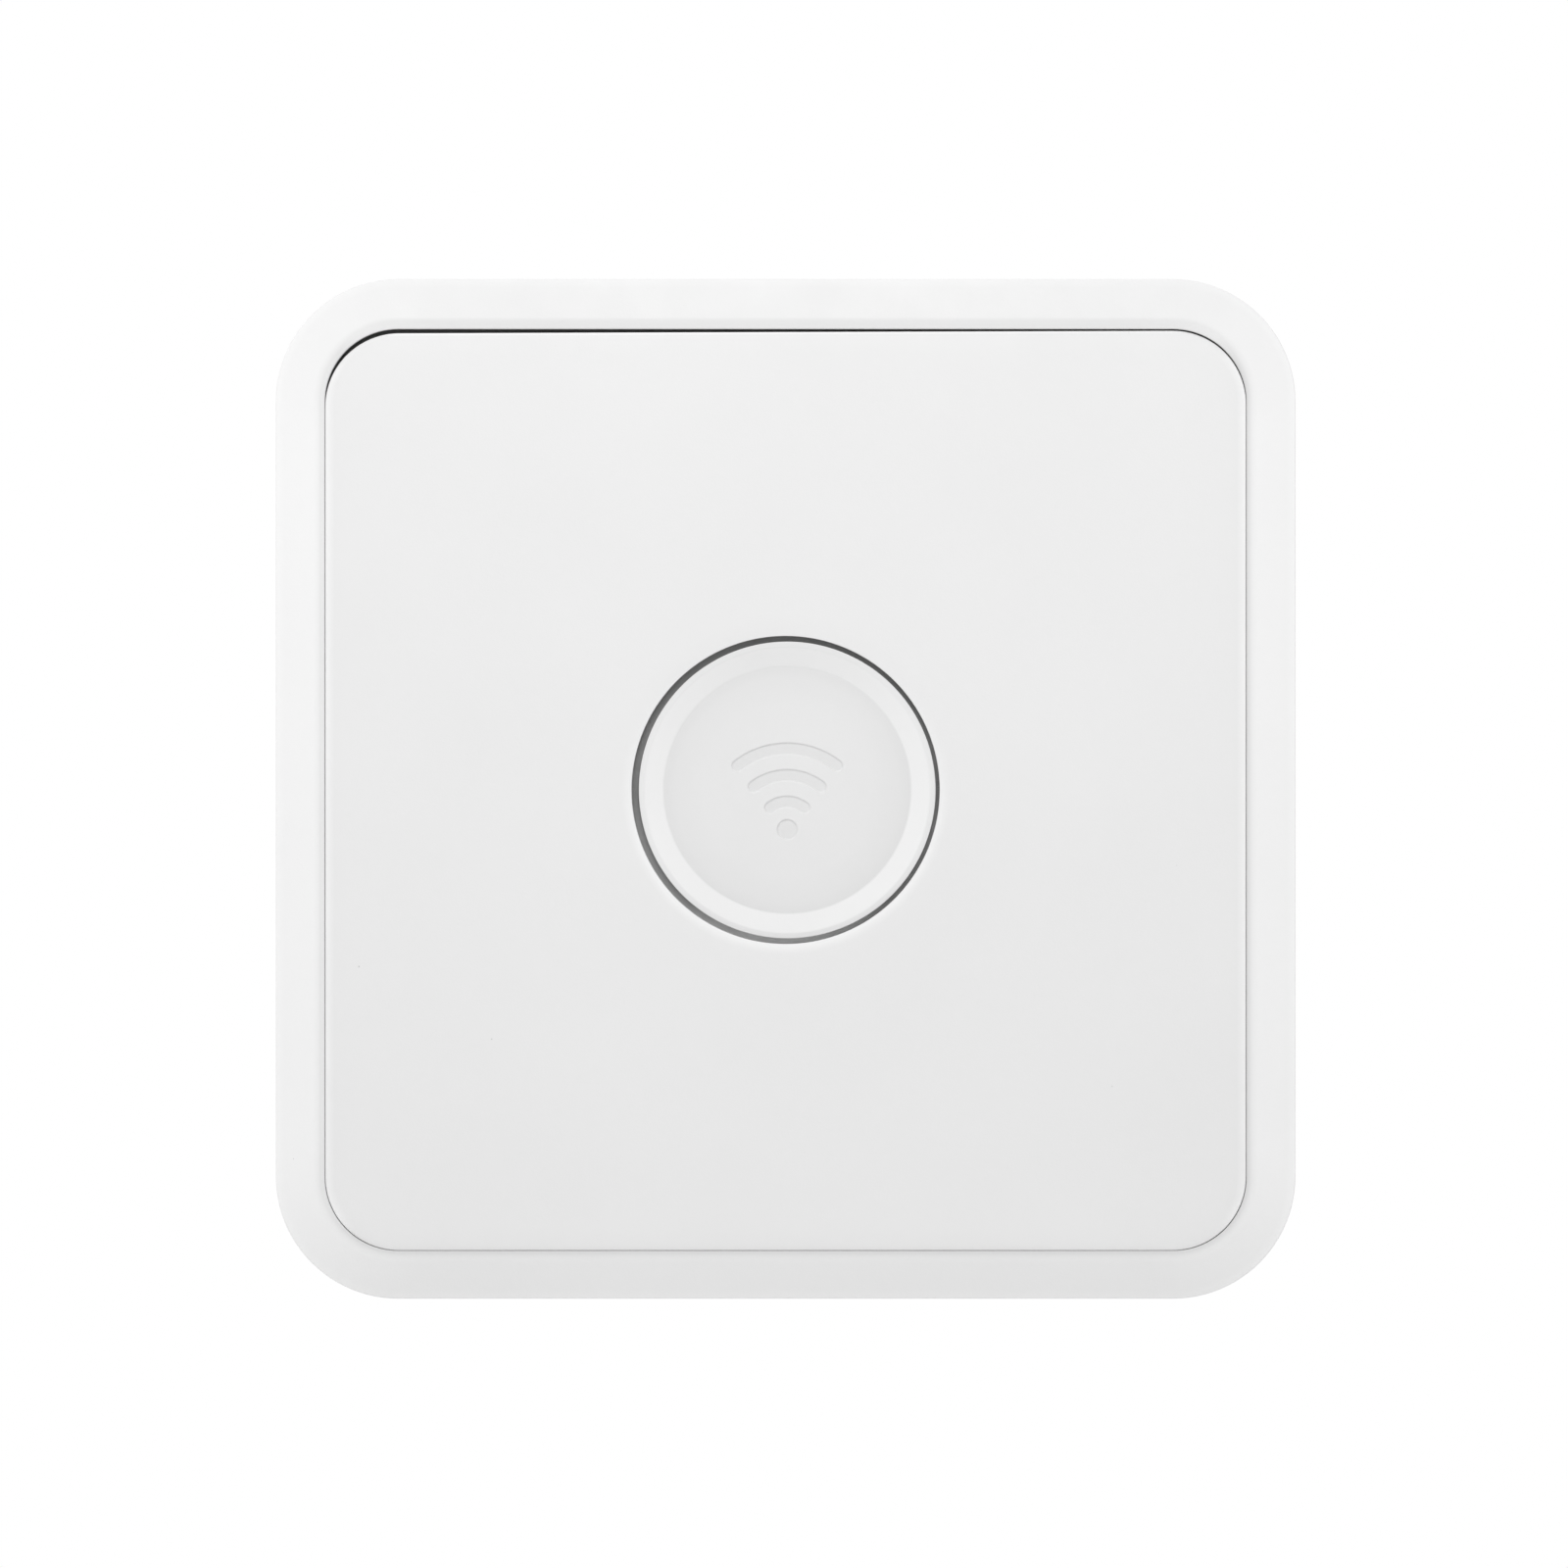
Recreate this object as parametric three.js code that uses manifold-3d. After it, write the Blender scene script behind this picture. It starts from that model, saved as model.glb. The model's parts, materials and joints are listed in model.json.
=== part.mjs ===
// Ceiling access point: a rounded-square radio unit that slides onto a steel bracket, with an inset
// front plate, a large round push button in its middle, and the board, jacks and antennas inside.
//
// Every piece is drawn on the bench: the unit lies on its back, X to the right, Y up the front face,
// and Z, called the height, is the distance from the ceiling. The last group turns the bench upright,
// so that the front faces -Y and the ceiling face lies in the plane Y = 0. Millimetres throughout.

import * as THREE from "three";
import { mergeVertices } from "three/addons/utils/BufferGeometryUtils.js";
import Module from "manifold-3d";

const wasm = await Module();
wasm.setup();

// ---------------------------------------------------------------- driving dimensions

const GAP = 0.3; // clearance kept between neighbouring pieces
const PAST = 1; // how far a cutter runs past the face that it cuts
const BURIED = 0.5; // how deep a joined piece starts inside its neighbour

const SIDE = 180; // outer width and height of the unit
const CORNER_R = 21.6; // outer corner radius
const DEPTH = 34; // ceiling to the front rim
const BACK = 1; // height of the unit's back edge above the ceiling
const WALL = 2; // moulded wall thickness

const FRAME = {
  edgeR: 0.8, // rounding of the outer front edge
  skirt: 2.4, // side wall
  rim: 8.65, // border between the outer edge and the plate's pocket
  innerEase: 1.5, // how wide the rim slopes down into the pocket
};

const PLATE = { side: 162, cornerR: 12.3, thickness: 2.2, drop: 0.8, edge: 0.3 };
const PLATE_PLAY = 0.35; // gap all round the plate
const PLATE_TOP = DEPTH - PLATE.drop;
const PLATE_BACK = PLATE_TOP - PLATE.thickness;

const LEDGE_TOP = PLATE_BACK - 1; // the ledge carries the plate on its gasket
const LEDGE_BACK = LEDGE_TOP - WALL;
const LEDGE_OPENING = 156;
const LEDGE_CORNER_R = 34; // large, so that webs fill the corners under the plate

const BUTTON = {
  holeR: 27.2, // in the front plate
  outerR: 26.2,
  edge: 0.2, // rounding of the outer edge
  capRimT: 1.3, // the cap's rim stands out over the light guide by this thickness
  neckR: 25.2, // the skirt below the cap's rim
  rimR: 25.3, // where the dished face starts
  dishR: 21.8, // flat disc in the middle
  dishDepth: 0.7,
  top: PLATE_TOP + 0.1,
  capUnderside: 31,
  skirtInnerR: 24.4,
  skirtBottom: 24.9,
  flangeR: 28.4, // reaches behind the light guide, so the button can't fall out
  flangeT: 1,
  postR: 2.6,
  postBottom: 27.4,
  travel: 1,
};

const BOARD = { side: 148, back: 20, thickness: 1.6 };
const BOARD_FRONT = BOARD.back + BOARD.thickness;
const ON_BACK = BOARD.back - GAP; // where components on the board's ceiling side end
const ON_FRONT = BOARD_FRONT + GAP; // where components on its front side start

const BRACKET = { side: 104, cornerR: 8, thickness: 2 };
const BRACKET_NOTCH = { halfWidth: 30, high: -36 }; // lets the cables into the bay
const SCREW_SLOT = { x: 24, y: 14, width: 5, length: 14 };
const STUD = { x: 38, y: 30, neckR: 2.5, headR: 4.5, headLow: 4.9, headHigh: 6.4 };
const RELEASE_TRAVEL = 10; // the unit slides up this far to come off the bracket's studs

const REAR_SIDE = SIDE - 2 * (FRAME.skirt + 0.4);
const REAR_R = CORNER_R - FRAME.skirt - 0.4;
const LIP_TOP = 9; // top of the rear cover's lip inside the skirt
const RECESS = { play: 1, floor: 2.4 }; // the shallow pocket round the bracket
const FLOOR_TOP = RECESS.floor + WALL;
const VENT = { x: 77.5, length: 12, width: 2, pitch: 7, count: 12 };

const BAY = { halfWidth: 30, low: -83.4, high: -41.8, top: 18, wall: 1.8 }; // cable pocket
const EXIT = { halfWidth: 8, top: 10 }; // cable exit through the lower side wall

const CASE_SCREW = { at: 70, headR: 2.9, headT: 1.8, shankR: 1.3, length: 14 };
const CASE_TOWER = { radius: 4.6, top: 6, pocketR: 3.4, pocketTop: 4.4 };
const CASE_BOSS = { radius: 4, low: 6.3, holeR: 1.7, holeTop: 18 };
const BOARD_SCREW = { x: 66, y: 24, headR: 2.6, headT: 1.6, shankR: 1.1, length: 9 };
const STANDOFF = { radius: 3.2, holeR: 1.45, holeLow: 10 };

const JACK = { x: 10, width: 16, low: 6.2, length: 21.5, sheet: 0.3 };
const SOCKET = { halfWidth: 5.9, low: 9.8, high: 17.2, end: -27, latchHalf: 3.2, latchDepth: 1.8 };
const CONTACT = { count: 8, pitch: 1.02, width: 0.45, length: 11, low: 16.3, high: 16.75 };
const RESET = { x: 24.5, height: 14, radius: 1.6, travel: 0.5, play: 0.4, bodySide: 7 };

const LIGHT_RING = { innerR: BUTTON.neckR + 0.4, low: 28.9, legAt: 31, legR: 1.4 };
const LED = { side: 2.8, thickness: 0.5 };

// A bolt on the unit whose ramp rides out of the bracket's window as the unit slides up.
const DETENT = { x: 45, y: -4, width: 8, back: 3, run: 8, tip: 0.6, play: 0.4, top: 7 };
const DETENT_SLOPE = 5; // the ramp runs 5 mm along the slide for each 1 mm of lift
const DETENT_FLANGE_TOP = 6;
const DETENT_SPRING = { y: DETENT.y + 2.5, radius: 3, height: 6, wire: 0.35, turns: 3 };
const BRIDGE = { width: 6, leg: 3, low: 13, top: 15 }; // on the rear cover, over the spring

const ANTENNA = { at: 73.5, length: 30, sheet: 0.6, low: 24.5, top: 29.5, fold: 7 };

const FINISH = {
  shell: { color: 0xf1f1f1, roughness: 0.55, metalness: 0 },
  button: { color: 0xededed, roughness: 0.45, metalness: 0 },
  guide: { color: 0xcfd3d6, roughness: 0.3, metalness: 0 },
  steel: { color: 0x9a9da0, roughness: 0.4, metalness: 1 },
  tin: { color: 0xb9bcbf, roughness: 0.35, metalness: 1 },
  gold: { color: 0xc9a14a, roughness: 0.3, metalness: 1 },
  aluminium: { color: 0xa9acb0, roughness: 0.45, metalness: 1 },
  board: { color: 0x1f5a34, roughness: 0.5, metalness: 0 },
  black: { color: 0x1b1c1e, roughness: 0.6, metalness: 0 },
  grey: { color: 0x7f8489, roughness: 0.7, metalness: 0 },
  red: { color: 0xb03a2e, roughness: 0.5, metalness: 0 },
  foam: { color: 0x2c2d2f, roughness: 0.95, metalness: 0 },
  pad: { color: 0x8aa6bf, roughness: 0.85, metalness: 0 },
  led: { color: 0xf4f1d8, roughness: 0.3, metalness: 0 },
};

// How finely curves are cut. A quarter of a round corner gets twice its number of steps.
const STEPS = { corner: 3, frontCorner: 5, button: 48, ring: 36, head: 16, disc: 12, hole: 8 };

// ---------------------------------------------------------------- solids from three.js geometry

function solid(geometry) {
  geometry.deleteAttribute("normal");
  geometry.deleteAttribute("uv");
  const merged = mergeVertices(geometry, 1e-4);
  return new wasm.Manifold(
    new wasm.Mesh({
      numProp: 3,
      vertProperties: new Float32Array(merged.attributes.position.array),
      triVerts: new Uint32Array(merged.index.array),
    }),
  );
}

const joined = (solids) => solids.reduce((all, next) => all.add(next));
const without = (base, cutters) => cutters.reduce((left, next) => left.subtract(next), base);

function roundedRect(width, height, radius, x = 0, y = 0) {
  const shape = new THREE.Shape();
  const right = x + width / 2 - radius;
  const left = x - width / 2 + radius;
  const top = y + height / 2 - radius;
  const bottom = y - height / 2 + radius;
  const quarter = Math.PI / 2;
  shape.absarc(right, top, radius, 0, quarter);
  shape.absarc(left, top, radius, quarter, 2 * quarter);
  shape.absarc(left, bottom, radius, 2 * quarter, 3 * quarter);
  shape.absarc(right, bottom, radius, 3 * quarter, 4 * quarter);
  shape.closePath();
  return shape;
}

const roundedSquare = (side, radius) => roundedRect(side, side, radius);

// An outline on the face, from one height to another.
function slab(shape, low, high, curveSegments = STEPS.corner) {
  const geometry = new THREE.ExtrudeGeometry(shape, {
    depth: high - low,
    bevelEnabled: false,
    curveSegments,
  });
  return solid(geometry.translate(0, 0, low));
}

// A slab whose edges step in by width over a height of thickness, at its top and at its bottom.
function easedSlab(shape, low, high, { width, thickness, steps }) {
  const geometry = new THREE.ExtrudeGeometry(shape, {
    depth: high - low - 2 * thickness,
    bevelSize: width,
    bevelOffset: -width,
    bevelThickness: thickness,
    bevelSegments: steps,
    curveSegments: STEPS.frontCorner,
  });
  return solid(geometry.translate(0, 0, low + thickness));
}

// A box given by its lowest and highest corners.
function block(xLow, xHigh, yLow, yHigh, low, high) {
  const geometry = new THREE.BoxGeometry(xHigh - xLow, yHigh - yLow, high - low);
  return solid(geometry.translate((xLow + xHigh) / 2, (yLow + yHigh) / 2, (low + high) / 2));
}

// A box centred on a point of the face, from one height to another.
const post = (x, y, width, length, low, high) =>
  block(x - width / 2, x + width / 2, y - length / 2, y + length / 2, low, high);

function disc(radius, low, high, x = 0, y = 0, segments = STEPS.disc) {
  const geometry = new THREE.CylinderGeometry(radius, radius, high - low, segments);
  return solid(geometry.rotateX(Math.PI / 2).translate(x, y, (low + high) / 2));
}

// A round pin lying along Y.
function pinAlongY(radius, yLow, yHigh, x, height) {
  const geometry = new THREE.CylinderGeometry(radius, radius, yHigh - yLow, STEPS.disc);
  return solid(geometry.translate(x, (yLow + yHigh) / 2, height));
}

// A turned piece: [radius, height] points, up the outside and back down the inside.
function turned(profile, segments) {
  const points = profile.map(([radius, height]) => new THREE.Vector2(radius, height));
  return solid(new THREE.LatheGeometry(points, segments).rotateX(Math.PI / 2));
}

// A ring of rectangular section.
const ring = (innerR, outerR, low, high) =>
  turned(
    [
      [innerR, low],
      [outerR, low],
      [outerR, high],
      [innerR, high],
      [innerR, low],
    ],
    STEPS.ring,
  );

// A closed tube of six-sided section along a curve.
function tube(curve, radius, steps) {
  const section = new THREE.Shape();
  section.absarc(0, 0, radius, 0, 2 * Math.PI);
  return solid(
    new THREE.ExtrudeGeometry(section, {
      extrudePath: curve,
      steps,
      curveSegments: 3,
      bevelEnabled: false,
    }),
  );
}

class Helix extends THREE.Curve {
  constructor(radius, low, high, turns) {
    super();
    Object.assign(this, { radius, low, high, turns });
  }
  getPoint(t, target = new THREE.Vector3()) {
    const angle = 2 * Math.PI * this.turns * t;
    return target.set(
      this.radius * Math.cos(angle),
      this.radius * Math.sin(angle),
      this.low + (this.high - this.low) * t,
    );
  }
}

const coil = (radius, low, high, turns, wire) =>
  tube(new Helix(radius, low, high, turns), wire, turns * 12);

function piece(name, made, finish) {
  const { numProp, vertProperties, triVerts } = made.getMesh();
  const geometry = new THREE.BufferGeometry();
  geometry.setAttribute("position", new THREE.BufferAttribute(vertProperties, numProp));
  geometry.setIndex(new THREE.BufferAttribute(triVerts, 1));
  geometry.computeVertexNormals();
  const mesh = new THREE.Mesh(geometry, new THREE.MeshStandardMaterial(FINISH[finish]));
  mesh.name = name;
  return mesh;
}

const range = (count) => Array.from({ length: count }, (_, i) => i);

const QUADRANTS = [
  [1, 1],
  [-1, 1],
  [-1, -1],
  [1, -1],
];
const inQuadrants = (x, y, make) => QUADRANTS.map(([sx, sy], i) => make(sx * x, sy * y, i));

// ---------------------------------------------------------------- bracket

// The bracket's window for the detent bolt, long enough for the part of the ramp inside the sheet.
function detentWindow() {
  const { x, y, width, back, tip, play } = DETENT;
  const side = width / 2 + play + 0.6;
  const rampEnd = y + DETENT_SLOPE * (BRACKET.thickness - tip);
  return block(x - side, x + side, y - back - play, rampEnd + play, -PAST, BRACKET.thickness + PAST);
}

function mountingBracket() {
  const { side, cornerR, thickness } = BRACKET;
  const plate = slab(roundedSquare(side, cornerR), 0, thickness);
  const studs = inQuadrants(STUD.x, STUD.y, (x, y) =>
    disc(STUD.neckR, thickness - BURIED, STUD.headLow + BURIED, x, y).add(
      disc(STUD.headR, STUD.headLow, STUD.headHigh, x, y, STEPS.head),
    ),
  );
  const { halfWidth, high } = BRACKET_NOTCH;
  const notch = block(-halfWidth, halfWidth, -side / 2 - PAST, high, -PAST, thickness + PAST);
  const slots = inQuadrants(SCREW_SLOT.x, SCREW_SLOT.y, (x, y) => {
    const roundEnd = 0.498 * SCREW_SLOT.width;
    const outline = roundedRect(SCREW_SLOT.length, SCREW_SLOT.width, roundEnd, x, y);
    return slab(outline, -PAST, thickness + PAST);
  });
  const made = without(joined([plate, ...studs]), [notch, ...slots, detentWindow()]);
  return piece("mounting_bracket", made, "steel");
}

// ---------------------------------------------------------------- rear cover

// A stud enters the round end and slides along the narrow one.
function keyhole(x, y) {
  const play = 0.5;
  const slotR = STUD.neckR + play;
  const entry = y - RELEASE_TRAVEL;
  const low = RECESS.floor - PAST;
  const high = FLOOR_TOP + PAST;
  return joined([
    disc(STUD.headR + 0.8, low, high, x, entry, STEPS.head),
    block(x - slotR, x + slotR, entry, y + play, low, high),
    disc(slotR, low, high, x, y + play),
  ]);
}

function springBridge() {
  const { width, leg, low, top } = BRIDGE;
  const from = DETENT.y - 10;
  const to = DETENT.y + 17;
  const legs = [from, to - leg].map((start) =>
    block(DETENT.x - width / 2, DETENT.x + width / 2, start, start + leg, FLOOR_TOP - BURIED, top),
  );
  const beam = block(DETENT.x - width / 2, DETENT.x + width / 2, from, to, low, top);
  return joined([...legs, beam]);
}

function rearCoverMass() {
  const onPlate = BACK + WALL - BURIED;
  const half = BRACKET.side / 2 + RECESS.play;
  const outline = roundedSquare(REAR_SIDE, REAR_R);
  const inside = roundedSquare(REAR_SIDE - 2 * WALL, REAR_R - WALL);
  const plate = slab(outline, BACK, BACK + WALL);
  const lip = slab(outline, onPlate, LIP_TOP).subtract(slab(inside, 0, LIP_TOP + PAST));
  const pan = block(
    -half - WALL,
    half + WALL,
    -half - RELEASE_TRAVEL - WALL,
    half + WALL,
    BACK,
    FLOOR_TOP,
  );
  const bay = block(
    -BAY.halfWidth - BAY.wall,
    BAY.halfWidth + BAY.wall,
    -REAR_SIDE / 2 + BURIED,
    BAY.high + BAY.wall,
    BACK,
    BAY.top + BAY.wall - GAP,
  );
  const standoffs = inQuadrants(BOARD_SCREW.x, BOARD_SCREW.y, (x, y) =>
    disc(STANDOFF.radius, onPlate, ON_BACK, x, y),
  );
  const towers = inQuadrants(CASE_SCREW.at, CASE_SCREW.at, (x, y) =>
    disc(CASE_TOWER.radius, onPlate, CASE_TOWER.top, x, y, STEPS.head),
  );
  return joined([plate, lip, pan, bay, ...standoffs, ...towers]);
}

function bayCutters() {
  const room = block(-BAY.halfWidth, BAY.halfWidth, BAY.low, BAY.high, 0, BAY.top);
  const exit = block(-EXIT.halfWidth, EXIT.halfWidth, -SIDE / 2, BAY.low + PAST, 0, EXIT.top);
  const wallMiddle = BAY.high + BAY.wall / 2;
  const jackWindows = [-JACK.x, JACK.x].map((x) =>
    post(x, wallMiddle, JACK.width + 2 * GAP, 2 * BAY.wall, JACK.low - GAP, BOARD.back),
  );
  const resetHole = pinAlongY(
    RESET.radius + RESET.play,
    BAY.high - PAST,
    BAY.high + BAY.wall + PAST,
    RESET.x,
    RESET.height,
  );
  return [room, exit, ...jackWindows, resetHole];
}

function bracketCutters() {
  const half = BRACKET.side / 2 + RECESS.play;
  const { x, y, width, back, run, play } = DETENT;
  const recess = block(-half, half, -half - RELEASE_TRAVEL, half, 0, RECESS.floor);
  const boltHole = block(
    x - width / 2 - play,
    x + width / 2 + play,
    y - back - play,
    y + run + play,
    0,
    FLOOR_TOP + PAST,
  );
  return [recess, boltHole, ...inQuadrants(STUD.x, STUD.y, keyhole)];
}

function screwAndVentCutters() {
  const vents = range(VENT.count).flatMap((i) =>
    [-VENT.x, VENT.x].map((x) => {
      const y = (i - (VENT.count - 1) / 2) * VENT.pitch;
      return post(x, y, VENT.length, VENT.width, 0, BACK + WALL + PAST);
    }),
  );
  const boardScrewHoles = inQuadrants(BOARD_SCREW.x, BOARD_SCREW.y, (x, y) =>
    disc(STANDOFF.holeR, STANDOFF.holeLow, ON_BACK + PAST, x, y, STEPS.hole),
  );
  const caseScrewHoles = inQuadrants(CASE_SCREW.at, CASE_SCREW.at, (x, y) =>
    disc(CASE_TOWER.pocketR, 0, CASE_TOWER.pocketTop, x, y, STEPS.head).add(
      disc(CASE_SCREW.shankR + 0.5, 0, CASE_TOWER.top + PAST, x, y, STEPS.hole),
    ),
  );
  return [...vents, ...boardScrewHoles, ...caseScrewHoles];
}

function rearCover() {
  const cutters = [...bracketCutters(), ...bayCutters(), ...screwAndVentCutters()];
  return piece("rear_cover", without(rearCoverMass(), cutters).add(springBridge()), "shell");
}

// ---------------------------------------------------------------- front frame, plate and gasket

function frontFrame() {
  const { edgeR, skirt, rim, innerEase } = FRAME;
  const outline = roundedSquare(SIDE, CORNER_R);
  const pocketSide = SIDE - 2 * rim;
  const pocketR = PLATE.cornerR + PLATE_PLAY;
  const body = joined([
    slab(outline, BACK, DEPTH - 2 * edgeR, STEPS.frontCorner),
    easedSlab(outline, DEPTH - 4 * edgeR, DEPTH, { width: edgeR, thickness: edgeR, steps: 3 }),
  ]);
  const easing = roundedSquare(pocketSide + 2 * innerEase, pocketR + innerEase);
  const hollowed = without(body, [
    slab(roundedSquare(SIDE - 2 * skirt, CORNER_R - skirt), 0, LEDGE_BACK),
    slab(roundedSquare(pocketSide, pocketR), LEDGE_TOP, DEPTH + PAST, STEPS.frontCorner),
    slab(roundedSquare(LEDGE_OPENING, LEDGE_CORNER_R), LEDGE_BACK - PAST, LEDGE_TOP + PAST),
    easedSlab(easing, PLATE_TOP - 0.1, DEPTH + 3, { width: innerEase, thickness: 0.9, steps: 2 }),
    block(-EXIT.halfWidth, EXIT.halfWidth, -SIDE / 2 - PAST, -SIDE / 2 + 2 * skirt, 0, EXIT.top),
  ]);
  const bosses = inQuadrants(CASE_SCREW.at, CASE_SCREW.at, (x, y) =>
    disc(CASE_BOSS.radius, CASE_BOSS.low, LEDGE_BACK + BURIED, x, y),
  );
  const holes = inQuadrants(CASE_SCREW.at, CASE_SCREW.at, (x, y) =>
    disc(CASE_BOSS.holeR, 0, CASE_BOSS.holeTop, x, y, STEPS.hole),
  );
  return piece("front_frame", without(joined([hollowed, ...bosses]), holes), "shell");
}

function plateGasket() {
  const outline = roundedSquare(PLATE.side - 2, PLATE.cornerR - 1);
  const opening = slab(roundedSquare(LEDGE_OPENING + 1, LEDGE_CORNER_R - 0.5), 0, DEPTH);
  const sheet = slab(outline, LEDGE_TOP + GAP, PLATE_BACK - GAP);
  return piece("plate_gasket", sheet.subtract(opening), "foam");
}

function frontPlate() {
  const { side, cornerR, edge } = PLATE;
  const easing = { width: edge, thickness: edge, steps: 2 };
  const body = easedSlab(roundedSquare(side, cornerR), PLATE_BACK, PLATE_TOP, easing);
  const hole = disc(BUTTON.holeR, 0, DEPTH, 0, 0, STEPS.button);
  const easedHole = turned(
    [
      [0, PLATE_TOP - edge],
      [BUTTON.holeR, PLATE_TOP - edge],
      [BUTTON.holeR + 0.4 * edge, PLATE_TOP - 0.4 * edge],
      [BUTTON.holeR + 1.6 * edge, PLATE_TOP + 0.2 * edge],
      [0, PLATE_TOP + 0.2 * edge],
    ],
    STEPS.button,
  );
  return piece("front_plate", without(body, [hole, easedHole]), "shell");
}

// ---------------------------------------------------------------- button, its guide and its light

// Three signal arcs over a dot, sunk into the dish.
function signalSymbol() {
  const halfAngle = 0.66;
  const centreY = -6.6;
  const line = 1.8;
  const low = BUTTON.top - BUTTON.dishDepth - 0.3;
  const from = Math.PI / 2 - halfAngle;
  const to = Math.PI / 2 + halfAngle;
  const arcs = [5, 9.5, 14].map((radius) => {
    const arc = new THREE.Shape();
    arc.absarc(0, centreY, radius + line / 2, from, to);
    arc.absarc(0, centreY, radius - line / 2, to, from, true);
    arc.closePath();
    return slab(arc, low, DEPTH);
  });
  return [...arcs, disc(1.6, low, DEPTH, 0, centreY)];
}

function centerButton() {
  const { outerR, edge, neckR, rimR, dishR, top, postR } = BUTTON;
  const { skirtInnerR, skirtBottom, flangeR } = BUTTON;
  const rimLow = top - BUTTON.capRimT;
  const dish = top - BUTTON.dishDepth;
  const flangeTop = skirtBottom + BUTTON.flangeT;
  const body = turned(
    [
      [0, BUTTON.postBottom],
      [postR, BUTTON.postBottom],
      [postR + 0.4, BUTTON.capUnderside],
      [skirtInnerR, BUTTON.capUnderside],
      [skirtInnerR, skirtBottom],
      [flangeR, skirtBottom],
      [flangeR, flangeTop],
      [neckR, flangeTop],
      [neckR, rimLow],
      [outerR, rimLow],
      [outerR, top - edge],
      [outerR - edge, top],
      [rimR, top],
      [dishR + 1, dish + 0.1],
      [dishR, dish],
      [0, dish],
    ],
    STEPS.button,
  );
  return piece("center_button", without(body, signalSymbol()), "button");
}

// A clear ring behind the plate, fed with light by four legs. Its face is the floor of the gap.
function lightGuideRing() {
  const { innerR, low, legAt, legR } = LIGHT_RING;
  const legXY = legAt * Math.SQRT1_2;
  const legLow = ON_FRONT + LED.thickness + GAP;
  const legs = inQuadrants(legXY, legXY, (x, y) =>
    disc(legR, legLow, low + BURIED, x, y, STEPS.hole),
  );
  const band = ring(innerR, legAt + legR + 0.1, low, PLATE_BACK - GAP);
  return piece("light_guide_ring", joined([band, ...legs]), "guide");
}

// A ring on the board that the button's skirt slides over.
function buttonGuide() {
  const innerR = 21.4;
  const outerR = BUTTON.skirtInnerR - 0.8;
  const footTop = BUTTON.skirtBottom - BUTTON.travel - 0.6;
  const top = BUTTON.capUnderside - BUTTON.travel - 0.5;
  const foot = ring(innerR, BUTTON.outerR + 0.8, ON_FRONT, footTop);
  return piece("button_guide", foot.add(ring(innerR, outerR, ON_FRONT, top)), "black");
}

function buttonSpring() {
  const wire = 0.5;
  const low = ON_FRONT + wire + 0.1;
  const high = BUTTON.capUnderside - wire - GAP;
  return piece("button_spring", coil(9, low, high, 3, wire), "steel");
}

function buttonSwitch() {
  const side = 8;
  const top = 25.2;
  const plunger = { radius: 2, low: 24 };
  const bore = disc(plunger.radius + 0.4, plunger.low - BUTTON.travel - GAP, top + PAST);
  const body = post(0, 0, side, side, ON_FRONT, top).subtract(bore);
  return [
    piece("switch_body", body, "black"),
    piece("switch_plunger", disc(plunger.radius, plunger.low, BUTTON.postBottom - GAP), "grey"),
  ];
}

function statusLeds() {
  const at = LIGHT_RING.legAt * Math.SQRT1_2;
  return inQuadrants(at, at, (x, y, i) => {
    const chip = post(x, y, LED.side, LED.side, ON_FRONT, ON_FRONT + LED.thickness);
    return piece(`status_led_${i + 1}`, chip, "led");
  });
}

// ---------------------------------------------------------------- detent that holds the unit on

function detentBolt() {
  const { x, y, width, back, run, tip, top } = DETENT;
  const rampTop = tip + run / DETENT_SLOPE;
  const flangeLow = FLOOR_TOP + 0.4;
  const side = new THREE.Shape();
  side.moveTo(y - back, tip);
  side.lineTo(y, tip);
  side.lineTo(y + run, rampTop);
  side.lineTo(y + run, flangeLow + BURIED);
  side.lineTo(y - back, flangeLow + BURIED);
  side.closePath();
  // The outline is drawn in the plane of Y and height, and runs along X.
  const tooth = new THREE.ExtrudeGeometry(side, { depth: width, bevelEnabled: false });
  tooth.rotateX(Math.PI / 2).rotateZ(Math.PI / 2).translate(x - width / 2, 0, 0);
  const flangeHalf = width / 2 + 2;
  const flange = block(
    x - flangeHalf,
    x + flangeHalf,
    y - back - 2,
    y + run + 2,
    flangeLow,
    DETENT_FLANGE_TOP,
  );
  const stem = disc(1.6, DETENT_FLANGE_TOP - BURIED, top, x, DETENT_SPRING.y);
  return piece("detent_bolt", joined([solid(tooth), flange, stem]), "grey");
}

function detentSpring() {
  const { y, radius, height, wire, turns } = DETENT_SPRING;
  const made = piece("detent_spring", coil(radius, 0, height, turns, wire), "steel");
  made.position.set(DETENT.x, y, DETENT_FLANGE_TOP + wire + GAP);
  return made;
}

// ---------------------------------------------------------------- board and screws

function mainBoard() {
  const outline = slab(roundedSquare(BOARD.side, LEDGE_CORNER_R), BOARD.back, BOARD_FRONT);
  const holes = inQuadrants(BOARD_SCREW.x, BOARD_SCREW.y, (x, y) =>
    disc(BOARD_SCREW.shankR + 0.6, BOARD.back - PAST, BOARD_FRONT + PAST, x, y),
  );
  return piece("main_board", without(outline, holes), "board");
}

// Pan head with a cross recess: the head's face is at height 0, and the shank runs up.
function screw(name, { headR, headT, shankR, length }) {
  const slotLength = 1.2 * headR;
  const slotWidth = 0.8;
  const cross = [
    post(0, 0, slotWidth, slotLength, -PAST, headT / 2),
    post(0, 0, slotLength, slotWidth, -PAST, headT / 2),
  ];
  const body = disc(headR, 0, headT).add(
    disc(shankR, headT - BURIED, length, 0, 0, STEPS.hole),
  );
  return piece(name, without(body, cross), "steel");
}

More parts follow.
